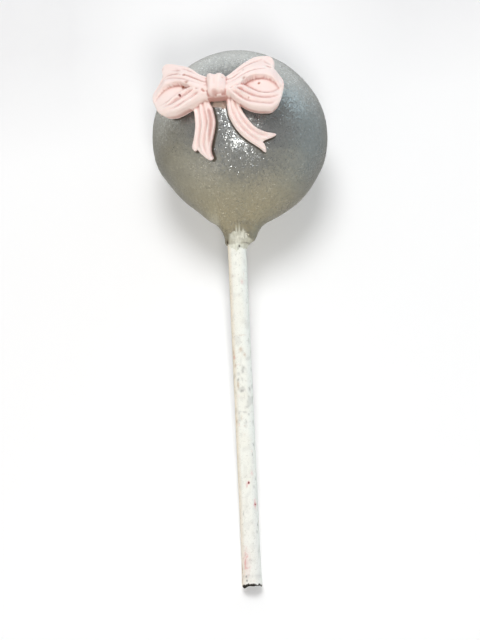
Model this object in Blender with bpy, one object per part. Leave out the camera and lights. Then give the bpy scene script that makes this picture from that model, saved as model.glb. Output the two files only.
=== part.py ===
"""A cake pop lying on its side: a coated cake ball on a paper stick, with a moulded bow on top.

Units are metres and +Z is up. The stick points along -Y and its free end touches the ground.
"""
import functools
import math

import bmesh
import bpy
import numpy as np
from mathutils import Matrix
from mathutils import Vector
from mathutils.geometry import delaunay_2d_cdt

MM = 0.001

# Ball, neck and socket
BALL_RADIUS = 18.95 * MM
FLAT_DEPTH = 0.45 * MM
BALL_SEGMENTS = 56
BALL_RINGS = 20
NECK_START = 4.5 * MM
# Each row is: distance along the stick, sideways shift from the stick's line, radius (mm)
NECK_ROWS = [
    (6.6, 1.79, 17.67), (9.0, 1.95, 16.22), (11.05, 2.03, 14.85), (13.1, 2.12, 13.12),
    (14.5, 2.18, 11.62), (15.8, 2.02, 9.98), (16.9, 1.70, 8.55), (17.8, 1.36, 7.18),
    (18.5, 1.22, 5.98), (19.2, 1.10, 5.06), (20.0, 1.00, 4.38), (21.0, 0.92, 3.78),
    (22.0, 0.83, 3.42), (22.8, 0.64, 3.16),
]
# Shallow flattening of the far side: direction (right, along the stick, to the front), depth, spread
DENT_WAY = (0.65, -0.76, 0.15)
DENT_DEPTH = 0.4 * MM
DENT_SPREAD = 0.5
LIP_REACH = 23.4 * MM
LIP_SLANT = 0.35 * MM
LIP_ROUGHNESS = 0.16 * MM
LIP_WALL = 0.35 * MM
GAP = 0.3 * MM

# Paper stick
STICK_RADIUS = 1.98 * MM
STICK_SHIFT = 1.70 * MM
STICK_INNER_END = -3.8 * MM
STICK_OUTER_END = 96.2 * MM
STICK_SEGMENTS = 32
STICK_FLARE = 0.12 * MM
STICK_FLARE_LENGTH = 9.0 * MM
STICK_WEAR = 0.35 * MM
CLEARANCE = 0.01 * MM
STICK_CORE_RADIUS = 1.35 * MM
STICK_CORE_DEPTH = 1.1 * MM

# Bow: the way it faces, the height of its base and how flat the loops stay
BOW_NORMAL = (-0.1946, 0.0953, 0.9763)
BOW_RIGHT = (0.9790, -0.0429, 0.1994)
BOW_LIFT = 0.8 * MM
LOOP_CURVE = 34.0 * MM
LOOP_RISE = 0.40
TAIL_LIFT = 0.35 * MM
EDGE_ROUNDING = 0.45
TOP_SPACING = 0.5
EDGE_SPACING = 0.55
TAIL_THICKNESS = 1.15
KNOT_DROOP = 0.55

# Outlines and lines of the bow in mm on its own base: first to the right, second to the top.
# A smooth curve runs through each list of points.
LEFT_LOOP = [
    (-1.7, 2.6), (-2.2, 2.45), (-3.9, 3.3), (-5.9, 5.2), (-8.5, 6.7), (-11.1, 7.5), (-11.8, 7.3),
    (-12.35, 6.3), (-12.0, 4.8), (-12.1, 3.7), (-13.0, 1.9), (-14.0, -0.2), (-12.4, -4.0),
    (-9.4, -5.0), (-6.0, -4.0), (-3.2, -2.6), (-2.3, -2.4),
]
KNOT_FOOT = [(-1.5, -2.35), (0.1, -2.45)]
RIGHT_LOOP = [
    (2.3, -2.3), (3.0, -2.7), (5.5, -4.7), (7.8, -5.6), (10.2, -5.7), (11.2, -5.3), (12.35, -3.8),
    (13.0, -0.2), (12.5, 1.4), (10.95, 3.4), (11.1, 4.0), (10.85, 5.7), (9.7, 6.8), (6.8, 6.5),
    (3.4, 3.5), (1.7, 2.2),
]
KNOT_TOP = [(1.2, 1.95), (0.7, 2.15), (0.0, 2.1), (-0.4, 1.95)]
BOW_OUTLINE = LEFT_LOOP + KNOT_FOOT + RIGHT_LOOP + KNOT_TOP
KNOT_OUTLINE = [
    (-1.7, 2.45), (-0.4, 1.9), (0.3, 2.1), (1.5, 1.75), (1.75, 0.7), (1.9, -1.8), (1.45, -2.2),
    (0.5, -2.4), (-1.35, -2.35), (-1.85, -1.8), (-1.7, -0.7), (-2.0, 1.8),
]
LEFT_TAIL = [
    (-4.3, 0.6), (-5.7, -2.0), (-5.25, -5.0), (-5.7, -8.5), (-6.7, -10.7), (-6.2, -11.85),
    (-5.75, -11.6), (-5.4, -11.7), (-5.0, -12.4), (-3.3, -14.0), (-2.3, -13.9), (-2.5, -12.0),
    (-1.05, -7.2), (-1.4, -4.1), (-2.4, -1.2), (-2.3, 0.4),
]
RIGHT_TAIL = [
    (0.9, 0.3), (1.3, -1.5), (1.95, -5.9), (4.3, -9.6), (8.3, -12.3), (9.2, -12.95), (9.55, -12.7),
    (9.2, -11.3), (8.85, -10.7), (10.9, -9.7), (11.75, -8.9), (10.4, -8.75), (9.1, -8.65),
    (6.7, -7.4), (4.2, -3.8), (3.6, -1.0), (2.8, 0.2),
]
# Lower edge of the upper band, from the knot outwards
LEFT_BAND_EDGE = [(-1.3, -1.7), (-4.6, -0.35), (-7.3, 1.1), (-9.4, 1.15), (-11.3, 0.35), (-12.9, -1.1)]
RIGHT_BAND_EDGE = [(1.3, -2.2), (2.9, -1.25), (4.7, -0.5), (6.4, 0.8), (8.8, 1.15), (11.0, 0.1), (12.1, -1.4)]
# Upper edge of the lower band, from the inner corner of the opening outwards
LEFT_RIM = [(-5.3, 0.2), (-8.9, -1.6), (-9.9, -2.2), (-12.5, -3.0)]
RIGHT_RIM = [(4.6, -0.2), (5.5, -0.35), (8.4, -2.2), (10.9, -2.1), (12.0, -1.3)]
# Raised ribs (line, height, width) and pressed grooves (line, depth, width) in mm
LEFT_RIBS = [
    ([(-4.3, -0.55), (-5.5, -0.45), (-6.6, -0.9), (-7.8, -1.4), (-10.2, -2.5)], 0.62, 0.34),
    ([(-3.0, -1.15), (-4.3, -1.2), (-5.7, -2.05), (-8.3, -3.4), (-9.9, -3.8), (-11.9, -3.9)], 0.70, 0.42),
    ([(-2.0, -1.7), (-3.4, -1.9), (-4.9, -2.8), (-7.4, -4.1), (-9.1, -4.5), (-10.9, -4.5)], 0.50, 0.40),
]
RIGHT_RIBS = [
    ([(3.5, -1.15), (4.8, -0.95), (5.8, -1.6), (7.3, -2.4), (8.8, -2.85), (10.4, -2.8),
      (11.9, -2.3)], 0.60, 0.38),
    ([(2.6, -1.6), (3.9, -1.75), (5.2, -2.65), (6.8, -3.6), (8.9, -4.1), (10.7, -4.0),
      (12.2, -3.3)], 0.70, 0.42),
    ([(2.0, -1.95), (3.1, -2.35), (5.8, -4.5), (9.9, -5.25), (11.3, -4.8)], 0.50, 0.40),
]
LEFT_GROOVES = [
    ([(-11.6, 3.2), (-11.0, 3.8), (-8.8, 3.8), (-7.6, 3.3)], 0.60, 0.30),
    ([(-7.4, 3.1), (-6.4, 2.95), (-2.9, 1.0), (-2.0, 0.7)], 0.65, 0.30),
    ([(-12.0, 5.6), (-11.1, 5.75), (-10.0, 5.6), (-7.4, 4.4)], 0.50, 0.35),
    ([(-8.2, 5.6), (-5.6, 4.0), (-3.3, 2.3), (-2.1, 1.6)], 0.35, 0.30),
    ([(-12.4, 2.2), (-10.5, 2.7), (-8.0, 2.25), (-5.3, 1.2), (-2.3, -0.2)], 0.35, 0.32),
]
RIGHT_GROOVES = [
    ([(1.6, 0.8), (2.8, 1.2), (3.8, 1.8), (5.0, 2.6)], 0.45, 0.35),
    ([(9.1, 5.2), (9.9, 4.7), (10.7, 4.2)], 0.60, 0.35),
    ([(9.2, 3.7), (10.0, 3.5), (10.8, 3.4)], 0.45, 0.30),
    ([(1.9, 1.6), (4.2, 2.9), (6.6, 4.7), (9.2, 6.0)], 0.32, 0.32),
    ([(1.9, -0.3), (3.6, 0.5), (5.6, 1.75), (7.6, 2.6), (10.0, 2.7)], 0.35, 0.32),
]
LEFT_TAIL_RIBS = [
    ([(-4.7, -0.6), (-5.0, -2.2), (-4.8, -7.0), (-6.15, -11.1)], 0.50, 0.38),
    ([(-3.9, -0.6), (-3.5, -5.5), (-3.5, -7.2), (-4.3, -10.8), (-3.7, -13.2)], 0.55, 0.32),
    ([(-3.1, -0.6), (-2.3, -5.5), (-2.3, -7.2), (-3.15, -10.8), (-2.8, -13.5)], 0.42, 0.32),
]
RIGHT_TAIL_RIBS = [
    ([(1.8, -1.0), (2.15, -4.4), (2.55, -5.8), (3.95, -8.2), (6.0, -10.05), (9.1, -12.3)], 0.48, 0.34),
    ([(2.55, -1.0), (3.0, -4.2), (5.0, -7.7), (7.2, -9.4), (9.3, -10.1)], 0.52, 0.32),
    ([(3.2, -1.0), (3.9, -3.9), (5.3, -6.3), (7.65, -8.45), (11.2, -9.05)], 0.55, 0.34),
]
# Dab of coating that holds the bow, between the two tails
DAB_OUTLINE = [(-1.5, 0.6), (-2.0, -2.3), (-1.5, -2.95), (-0.1, -3.2), (1.1, -3.5), (1.15, -1.6), (0.8, 0.5)]
DAB_HEIGHT = 0.45

# Colours: red, green, blue, then roughness and metallic
LOOKS = {
    "cake_ball": ((0.262, 0.254, 0.223), 0.38, 0.35),
    "stick": ((0.91, 0.92, 0.86), 0.75, 0.0),
    "bow": ((0.90, 0.70, 0.67), 0.62, 0.0),
}


def smooth_line(points, spacing, closed):
    """Points at an even spacing on a smooth curve through the given ones."""
    ring = np.array(points, float)
    count = len(ring)
    steps = np.linspace(0.0, 1.0, 12, endpoint=False)
    dense = []
    for i in range(count if closed else count - 1):
        if closed:
            a, b, c, d = (ring[(i + k) % count] for k in (-1, 0, 1, 2))
        else:
            a, b, c, d = (ring[min(max(i + k, 0), count - 1)] for k in (-1, 0, 1, 2))
        for t in steps:
            bend = (2 * b + (c - a) * t + (2 * a - 5 * b + 4 * c - d) * t**2
                    + (3 * b - a - 3 * c + d) * t**3)
            dense.append(bend / 2)
    dense.append(ring[0] if closed else ring[-1])
    dense = np.array(dense)
    length = np.concatenate([[0.0], np.cumsum(np.linalg.norm(np.diff(dense, axis=0), axis=1))])
    number = max(3, round(length[-1] / spacing))
    stops = np.linspace(0.0, length[-1], number + 1)
    if closed:
        stops = stops[:-1]
    return np.column_stack([np.interp(stops, length, dense[:, k]) for k in (0, 1)])


def to_line(points, line, closed=False):
    """Distance to a line, the side (+1 on the left of its course) and the share passed along it."""
    start = line if closed else line[:-1]
    end = np.roll(line, -1, axis=0) if closed else line[1:]
    way = end - start
    length = np.maximum((way**2).sum(axis=1), 1e-12)
    rel = points[:, None, :] - start[None, :, :]
    share = np.clip((rel * way[None]).sum(axis=2) / length, 0.0, 1.0)
    off = rel - share[..., None] * way[None]
    distance = np.sqrt((off**2).sum(axis=2))
    best = distance.argmin(axis=1)
    rows = np.arange(len(points))
    turn = way[best, 0] * rel[rows, best, 1] - way[best, 1] * rel[rows, best, 0]
    passed = (best + share[rows, best]) / len(start)
    return distance[rows, best], np.where(turn >= 0, 1.0, -1.0), passed


def inside(points, outline):
    """True where a point lies within a closed outline."""
    result = np.zeros(len(points), bool)
    before = np.roll(outline, 1, axis=0)
    for (x1, y1), (x2, y2) in zip(outline, before):
        crosses = (y1 > points[:, 1]) != (y2 > points[:, 1])
        slope = (x2 - x1) / (y2 - y1 if y2 != y1 else 1e-12)
        result ^= crosses & (points[:, 0] < slope * (points[:, 1] - y1) + x1)
    return result


def ease(value):
    """Smooth step from 0 to 1."""
    t = np.clip(value, 0.0, 1.0)
    return t * t * (3.0 - 2.0 * t)


def bell(distance, width):
    """Smooth bump of height 1 around distance 0."""
    return np.exp(-(distance / width)**2)


def rounded(depth, radius):
    """Drop in height near an edge: the radius at the edge itself, nothing further in than the radius."""
    t = np.clip(depth / radius, 0.0, 1.0)
    return radius * (1.0 - np.sqrt(np.maximum(1.0 - (1.0 - t)**2, 0.0)))


def raised(points, ribs):
    """Sum of the heights of some ribs at each point, less at their far ends."""
    total = np.zeros(len(points))
    for line, height, width in ribs:
        away, _, passed = to_line(points, smooth_line(line, 0.3, False))
        total += height * bell(away, width) * (0.35 + 0.65 * ease(4.0 * (1.0 - passed)))
    return total


def loop_heights(points, edge, rim, ribs, grooves, sign):
    """Height of one loop of the bow; sign is -1 for the left one and +1 for the right one."""
    out = sign * points[:, 0]
    apart, side, _ = to_line(points, smooth_line(edge, 0.3, False))
    above = apart * side * sign
    band = 2.3 + 1.75 * bell(np.maximum(above, 0.0), 3.3) - 0.45 * bell(out - 1.7, 1.7)
    band -= 0.95 * ease((out - 10.2) / 2.8)
    for line, depth, width in grooves:
        away, _, passed = to_line(points, smooth_line(line, 0.3, False))
        band -= depth * bell(away, width) * np.sin(math.pi * np.clip(passed, 0.03, 0.97))**0.5
    band -= rounded(above, 0.4)
    floor = 2.05 + 0.75 * ease((out - 5.5) / 6.0)
    apart, side, _ = to_line(points, smooth_line(rim, 0.3, False))
    below = -apart * side * sign
    root = 1.0 - ease((out - 3.0) / 4.0)
    crest = 3.1 - 0.55 * root + raised(points, ribs) * (1.0 + 0.7 * root)
    share = ease(below / 0.5 + 0.3)
    if sign < 0:
        share *= 0.2 + 0.8 * ease((13.2 - out) / 3.4)
    lower = floor + (crest - floor) * share
    return np.where(above > 0, np.maximum(band, lower), lower)


def bow_heights(points):
    """Height of the loops and the knot over the flat base of the bow."""
    left = loop_heights(points, LEFT_BAND_EDGE, LEFT_RIM, LEFT_RIBS, LEFT_GROOVES, -1.0)
    right = loop_heights(points, RIGHT_BAND_EDGE, RIGHT_RIM, RIGHT_RIBS, RIGHT_GROOVES, 1.0)
    height = np.where(points[:, 0] < 0, left, right)
    knot = smooth_line(KNOT_OUTLINE, 0.25, True)
    depth, _, _ = to_line(points, knot, True)
    dome = 4.4 - 0.04 * points[:, 1]**2 - 0.10 * (points[:, 0] + 0.1)**2
    dome += 0.32 * bell(points[:, 0] + 1.0, 0.45) + 0.25 * bell(points[:, 0] - 0.6, 0.5)
    dome -= 0.8 * rounded(depth, 1.2) + KNOT_DROOP * np.maximum(-points[:, 1] - 0.9, 0.0)**2
    dome = np.where(points[:, 1] < -1.0, dome, np.maximum(dome, height))
    height = np.where(inside(points, knot), dome, height)
    edge, _, _ = to_line(points, smooth_line(BOW_OUTLINE, 0.25, True), True)
    return height - rounded(edge, EDGE_ROUNDING)


def tail_heights(points, outline, ribs):
    """Height of a tail over the ball."""
    depth, _, _ = to_line(points, smooth_line(outline, 0.25, True), True)
    return TAIL_THICKNESS + raised(points, ribs) - rounded(depth, 0.35)


def thin_out(points, others, gap):
    """The points that keep a given distance from the others."""
    keep = []
    for point in points:
        if ((others - point)**2).sum(axis=1).min() > gap * gap:
            keep.append(point)
    return np.array(keep)


def sheet(outline, inner):
    """Triangles over an outline with some points inside it, the outline's points first."""
    points = np.concatenate([outline, inner])
    count = len(outline)
    edges = [(i, (i + 1) % count) for i in range(count)]
    flat = [Vector((float(x), float(y))) for x, y in points]
    result = delaunay_2d_cdt(flat, edges, [list(range(count))], 1, 1e-7)
    made = np.array([(p.x, p.y) for p in result[0]])
    return made, result[2]


def risen(points):
    """Bends the outer parts of the loops a little towards the top."""
    return np.column_stack([points[:, 0], points[:, 1] + LOOP_RISE * (points[:, 0] / 12.0)**2])


def wrapped(points, height, radius, lift, axes):
    """Places flat points on a sphere that touches the bow's base; height is in mm."""
    normal, right, up = axes
    if radius == LOOP_CURVE:
        points = risen(points)
    distance = np.maximum(np.hypot(points[:, 0], points[:, 1]), 1e-9) * MM
    angle = distance / radius
    way = (points[:, 0:1] * right + points[:, 1:2] * up) * MM / distance[:, None]
    centre = normal * (BALL_RADIUS + lift - radius)
    reach = (radius + height * MM)[:, None]
    return centre + reach * (np.cos(angle)[:, None] * normal + np.sin(angle)[:, None] * way)


def kept_inside(points, ring, margin):
    """The points within an outline that keep a margin from it."""
    points = points[inside(points, ring)]
    distance, _, _ = to_line(points, ring, True)
    return points[distance > margin]


def fill_points(outline, spacing, margin):
    """Even triangular pattern of points inside an outline."""
    low = outline.min(axis=0)
    high = outline.max(axis=0)
    rows = []
    step = spacing * math.sqrt(3.0) / 2.0
    for j in range(int((high[1] - low[1]) / step) + 1):
        x = np.arange(low[0] + (j % 2) * spacing / 2.0, high[0], spacing)
        rows.append(np.column_stack([x, np.full(len(x), low[1] + j * step)]))
    return kept_inside(np.concatenate(rows), outline, margin)


def inset_row(outline, ring):
    """Row of points just inside an outline, where the rounding of the edge ends."""
    course = smooth_line(outline, EDGE_SPACING * 0.9, True)
    way = np.roll(course, -1, axis=0) - np.roll(course, 1, axis=0)
    across = np.column_stack([-way[:, 1], way[:, 0]]) / np.linalg.norm(way, axis=1)[:, None]
    rows = np.concatenate([course + across * EDGE_ROUNDING * 0.75, course - across * EDGE_ROUNDING * 0.75])
    return kept_inside(rows, ring, EDGE_ROUNDING * 0.65)


def slab(name, outline, lines, heights, radius, lift, axes, spacing, under_spacing):
    """Closed body with a shaped top over an outline and a plain underside on the curved base."""
    ring = smooth_line(outline, EDGE_SPACING, True)
    rows = inset_row(outline, ring)
    if lines:
        fixed = kept_inside(np.concatenate(lines), ring, EDGE_ROUNDING * 0.55)
        rows = np.concatenate([fixed, thin_out(rows, fixed, spacing * 0.5)])
    grid = thin_out(fill_points(ring, spacing, spacing * 0.8), rows, spacing * 0.6)
    top, top_faces = sheet(ring, np.concatenate([rows, grid]))
    under, under_faces = sheet(ring, fill_points(ring, under_spacing, under_spacing * 0.5))
    mesh = bmesh.new()
    top_verts = [mesh.verts.new(p) for p in wrapped(top, heights(top), radius, lift, axes)]
    under_verts = [mesh.verts.new(p) for p in wrapped(under, np.zeros(len(under)), radius, lift, axes)]
    for face in top_faces:
        mesh.faces.new([top_verts[i] for i in face])
    for face in under_faces:
        mesh.faces.new([under_verts[i] for i in reversed(face)])
    count = len(ring)
    for i in range(count):
        j = (i + 1) % count
        mesh.faces.new([under_verts[i], under_verts[j], top_verts[j]])
        mesh.faces.new([under_verts[i], top_verts[j], top_verts[i]])
    bmesh.ops.recalc_face_normals(mesh, faces=mesh.faces)
    return to_object(name, mesh)


def to_object(name, mesh):
    """Makes an object from a bmesh and links it to the scene."""
    data = bpy.data.meshes.new(name)
    mesh.to_mesh(data)
    mesh.free()
    made = bpy.data.objects.new(name, data)
    bpy.context.scene.collection.objects.link(made)
    return made


def apply_modifiers(target):
    """Applies all modifiers of an object."""
    graph = bpy.context.evaluated_depsgraph_get()
    data = bpy.data.meshes.new_from_object(target.evaluated_get(graph))
    old = target.data
    target.modifiers.clear()
    target.data = data
    bpy.data.meshes.remove(old)


def join(target, others):
    """Unites an object with others, which are removed."""
    group = bpy.data.collections.new("joined")
    bpy.context.scene.collection.children.link(group)
    for other in others:
        bpy.context.scene.collection.objects.unlink(other)
        group.objects.link(other)
    union = target.modifiers.new("union", "BOOLEAN")
    union.operation = "UNION"
    union.solver = "EXACT"
    union.operand_type = "COLLECTION"
    union.collection = group
    apply_modifiers(target)
    for other in others:
        bpy.data.objects.remove(other)
    bpy.data.collections.remove(group)


def rings_body(name, rings, close_start, close_end):
    """Closed body from rings of equally many points, with a fan at either end."""
    mesh = bmesh.new()
    made = [[mesh.verts.new(point) for point in ring] for ring in rings]
    count = len(made[0])
    for low, high in zip(made, made[1:]):
        for i in range(count):
            j = (i + 1) % count
            mesh.faces.new([low[i], low[j], high[j], high[i]])
    for ring, tip in ((made[0], close_start), (made[-1], close_end)):
        peak = mesh.verts.new(tip)
        for i in range(count):
            mesh.faces.new([ring[i], ring[(i + 1) % count], peak])
    bmesh.ops.recalc_face_normals(mesh, faces=mesh.faces)
    return to_object(name, mesh)


def ring_at(reach, shift, radius, segments, slant=None):
    """Ring around the stick's direction; slant gives the extra reach at each angle."""
    points = []
    for i in range(segments):
        angle = 2.0 * math.pi * i / segments
        extra = slant(angle) if slant else 0.0
        points.append(Vector((shift + radius * math.cos(angle), -(reach + extra), radius * math.sin(angle))))
    return points


def dented(points):
    """Moves the points of the round part inwards where the ball is a little flatter."""
    way = Vector(DENT_WAY).normalized()
    moved = []
    for point in points:
        out = Vector((point.x, -point.y, point.z)).normalized()
        depth = DENT_DEPTH * math.exp(-((1.0 - out.dot(way)) / (DENT_SPREAD**2 / 2.0)))
        moved.append(point * (1.0 - depth / BALL_RADIUS))
    return moved


def build_ball():
    """The coated ball with its neck and the socket, its centre at the origin, the stick's line beside it."""
    rings = []
    last = math.acos(NECK_START / BALL_RADIUS)
    for k in range(1, BALL_RINGS + 1):
        angle = math.pi - (math.pi - last) * k / BALL_RINGS
        reach = BALL_RADIUS * math.cos(angle)
        rings.append(dented(ring_at(reach, 0.0, BALL_RADIUS * math.sin(angle), BALL_SEGMENTS)))
    for reach, shift, radius in NECK_ROWS:
        rings.append(ring_at(reach * MM, shift * MM - STICK_SHIFT, radius * MM, BALL_SEGMENTS))

    def lip(angle):
        return LIP_SLANT * math.cos(angle) + LIP_ROUGHNESS * math.sin(3.0 * angle + 0.7)

    bore = STICK_RADIUS + GAP
    outer = bore + 2.2 * LIP_WALL
    rings.append(ring_at(LIP_REACH - LIP_WALL, 0.25 * MM - STICK_SHIFT, outer, BALL_SEGMENTS, lip))
    rings.append(ring_at(LIP_REACH, 0.04 * MM - STICK_SHIFT, bore + 0.8 * LIP_WALL, BALL_SEGMENTS, lip))
    rings.append(ring_at(LIP_REACH - 0.2 * LIP_WALL, -STICK_SHIFT, bore, BALL_SEGMENTS, lip))
    depth = STICK_INNER_END - GAP
    rings.append(ring_at(depth, -STICK_SHIFT, bore, BALL_SEGMENTS))
    far_pole = dented([Vector((0.0, BALL_RADIUS, 0.0))])[0]
    return rings_body("cake_ball", rings, far_pole, Vector((-STICK_SHIFT, -depth, 0.0)))


def worn(angle):
    """Uneven reach of the stick's worn free end around its edge."""
    return 0.22 * MM * math.sin(2.0 * angle + 0.6) + 0.13 * MM * math.sin(5.0 * angle + 2.0)


def build_stick():
    """The paper stick, a little flared and worn at its free end."""
    rings = [ring_at(STICK_INNER_END, 0.0, STICK_RADIUS, STICK_SEGMENTS)]
    straight_end = STICK_OUTER_END - STICK_FLARE_LENGTH
    for k in range(1, 9):
        reach = STICK_INNER_END + (straight_end - STICK_INNER_END) * k / 8.0
        rings.append(ring_at(reach, 0.0, STICK_RADIUS, STICK_SEGMENTS))
    for k in range(1, 5):
        share = k / 4.0
        radius = STICK_RADIUS + STICK_FLARE * share * share
        slant = worn if k == 4 else None
        reach = straight_end + (STICK_FLARE_LENGTH - STICK_WEAR) * share
        rings.append(ring_at(reach, 0.0, radius, STICK_SEGMENTS, slant))
    bevel = STICK_CORE_RADIUS + 0.25 * MM
    rings.append(ring_at(STICK_OUTER_END - 0.4 * MM, 0.0, bevel, STICK_SEGMENTS, worn))
    bottom = STICK_OUTER_END - STICK_CORE_DEPTH
    rings.append(ring_at(bottom, 0.0, STICK_CORE_RADIUS, STICK_SEGMENTS))
    return rings_body("stick", rings, Vector((0.0, -STICK_INNER_END, 0.0)), Vector((0.0, -bottom, 0.0)))


def bow_axes():
    """The bow's own directions: out of the ball, to the right and to the top."""
    normal = Vector(BOW_NORMAL).normalized()
    right = Vector(BOW_RIGHT)
    right = (right - normal * right.dot(normal)).normalized()
    up = normal.cross(right)
    return np.array(normal), np.array(right), np.array(up)


def both_sides(line, gap, closed=False):
    """Two rows of points, a small distance on either side of a line."""
    course = smooth_line(line, 0.38, closed)
    way = np.gradient(course, axis=0)
    across = np.column_stack([-way[:, 1], way[:, 0]]) / np.linalg.norm(way, axis=1)[:, None]
    return [course + across * gap, course - across * gap]


def build_bow(axes):
    """The moulded bow: two loops and a knot in one relief, and two tails that follow the ball."""
    extra = both_sides(LEFT_BAND_EDGE, 0.13) + both_sides(RIGHT_BAND_EDGE, 0.13)
    extra += both_sides(KNOT_OUTLINE, 0.12, True)
    for line, _, _ in LEFT_RIBS + RIGHT_RIBS + LEFT_GROOVES + RIGHT_GROOVES:
        extra.append(smooth_line(line, 0.5, False))
    bow = slab("bow", BOW_OUTLINE, extra, bow_heights, LOOP_CURVE, BOW_LIFT, axes, TOP_SPACING, 2.2)
    curve = BALL_RADIUS + TAIL_LIFT
    tails = []
    parts = (("left_tail", LEFT_TAIL, LEFT_TAIL_RIBS), ("right_tail", RIGHT_TAIL, RIGHT_TAIL_RIBS))
    for name, outline, ribs in parts:
        lines = [smooth_line(line, 0.5, False) for line, _, _ in ribs]
        heights = functools.partial(tail_heights, outline=outline, ribs=ribs)
        tails.append(slab(name, outline, lines, heights, curve, TAIL_LIFT, axes, 0.42, 1.6))
    join(bow, tails)
    return bow


def build_dab(axes):
    """The low dab of coating under the knot, sunk a little into the ball."""
    def heights(points):
        depth, _, _ = to_line(points, smooth_line(DAB_OUTLINE, 0.25, True), True)
        return 0.4 + DAB_HEIGHT * ease(depth / 0.8)

    sunk = -0.4 * MM
    return slab("dab", DAB_OUTLINE, [], heights, BALL_RADIUS + sunk, sunk, axes, TOP_SPACING, 1.5)


def flatten_underside(target):
    """Cuts a level resting spot where the ball reaches below the ground."""
    mesh = bmesh.new()
    mesh.from_mesh(target.data)
    everything = mesh.verts[:] + mesh.edges[:] + mesh.faces[:]
    cut = bmesh.ops.bisect_plane(
        mesh, geom=everything, dist=1e-7, plane_co=(0.0, 0.0, 0.0), plane_no=(0.0, 0.0, 1.0),
        clear_inner=True)
    edges = [part for part in cut["geom_cut"] if isinstance(part, bmesh.types.BMEdge)]
    bmesh.ops.contextual_create(mesh, geom=edges)
    bmesh.ops.recalc_face_normals(mesh, faces=mesh.faces)
    mesh.to_mesh(target.data)
    mesh.free()


def paint(target):
    """Gives an object its own plain material and smooth shading."""
    colour, roughness, metallic = LOOKS[target.name]
    material = bpy.data.materials.new(target.name)
    material.use_nodes = True
    shader = material.node_tree.nodes["Principled BSDF"]
    shader.inputs["Base Color"].default_value = (*colour, 1.0)
    shader.inputs["Roughness"].default_value = roughness
    shader.inputs["Metallic"].default_value = metallic
    target.data.materials.clear()
    target.data.materials.append(material)
    target.data.shade_smooth()
    target.data.set_sharp_from_angle(angle=math.radians(50.0))


def main():
    """Builds the three pieces and lays them down."""
    for old in list(bpy.data.objects):
        bpy.data.objects.remove(old)
    centre_height = BALL_RADIUS - FLAT_DEPTH
    end_radius = STICK_RADIUS + STICK_FLARE
    end_reach = STICK_OUTER_END - STICK_WEAR + worn(-math.pi / 2.0)
    slant = math.hypot(end_reach, end_radius)
    tilt = math.asin((centre_height - CLEARANCE) / slant) - math.atan2(end_radius, end_reach)
    laid = Matrix.Translation((0.0, 0.0, centre_height)) @ Matrix.Rotation(tilt, 4, "X")
    axes = bow_axes()
    ball = build_ball()
    ball.data.transform(laid)
    dab = build_dab(axes)
    dab.data.transform(Matrix.Translation((0.0, 0.0, centre_height)))
    join(ball, [dab])
    flatten_underside(ball)
    stick = build_stick()
    stick.data.transform(laid @ Matrix.Translation((-STICK_SHIFT, 0.0, 0.0)))
    bow = build_bow(axes)
    bow.data.transform(Matrix.Translation((0.0, 0.0, centre_height)))
    for piece in (ball, stick, bow):
        paint(piece)


main()
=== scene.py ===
"""A cake pop lying on its side: the finished looks of its coated ball, paper stick and moulded bow.

Sizes are in mm and are turned into metres when a mesh is made. +Z is up and the stick points along -Y.
"""
import functools
import math

import bmesh
import bpy
import numpy as np
from mathutils import Matrix
from mathutils import Vector
from mathutils import noise
from mathutils.geometry import delaunay_2d_cdt


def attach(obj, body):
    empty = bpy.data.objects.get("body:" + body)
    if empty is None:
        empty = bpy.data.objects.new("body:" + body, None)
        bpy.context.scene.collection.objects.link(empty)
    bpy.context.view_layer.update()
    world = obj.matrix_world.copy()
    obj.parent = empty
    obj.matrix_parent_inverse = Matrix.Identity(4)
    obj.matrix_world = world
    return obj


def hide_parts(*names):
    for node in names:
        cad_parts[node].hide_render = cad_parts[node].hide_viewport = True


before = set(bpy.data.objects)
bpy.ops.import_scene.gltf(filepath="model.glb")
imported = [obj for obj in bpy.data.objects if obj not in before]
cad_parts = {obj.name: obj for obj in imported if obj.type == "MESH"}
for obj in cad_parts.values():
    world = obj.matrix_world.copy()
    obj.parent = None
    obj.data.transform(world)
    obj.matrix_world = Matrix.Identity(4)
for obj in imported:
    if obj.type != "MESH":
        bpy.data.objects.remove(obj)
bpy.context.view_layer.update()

bl_info = {
    "name": "Cake pop",
    "version": (1, 0, 0),
    "blender": (4, 5, 0),
    "location": "View3D > Sidebar > Cake pop",
    "description": "Makes a coated cake pop with a sugar bow, lying on a pale floor",
    "category": "Object",
}

MM = 0.001
# Spacing of the points on a smooth line and on a smooth outline
LINE_STEP = 0.3
OUTLINE_STEP = 0.25

# Ball, neck and socket
BALL_RADIUS = 18.95
FLAT_DEPTH = 0.45
# Height of the ball's centre over the ground
BALL_HEIGHT = BALL_RADIUS - FLAT_DEPTH
NECK_START = 4.5
# Each row is: distance along the stick, sideways shift from the stick's line, radius
NECK_ROWS = [
    (6.6, 1.79, 17.67), (9.0, 1.95, 16.22), (11.05, 2.03, 14.85), (13.1, 2.12, 13.12),
    (14.5, 2.18, 11.62), (15.8, 2.02, 9.98), (16.9, 1.70, 8.55), (17.8, 1.36, 7.18),
    (18.5, 1.22, 5.98), (19.2, 1.10, 5.06), (20.0, 1.00, 4.38), (21.0, 0.92, 3.78),
    (22.0, 0.83, 3.42), (22.8, 0.64, 3.16),
]
DENT_WAY = (0.65, -0.76, 0.15)
DENT_DEPTH = 0.4
DENT_SPREAD = 0.5
BALL_SEGMENTS = 288
FINE_ROW = 0.12
FINE_FROM = 17.0
COARSE_STEP = 2
# The rings' points lie closer together on the upper side, by this share
UPPER_SHARE = 0.55
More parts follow.
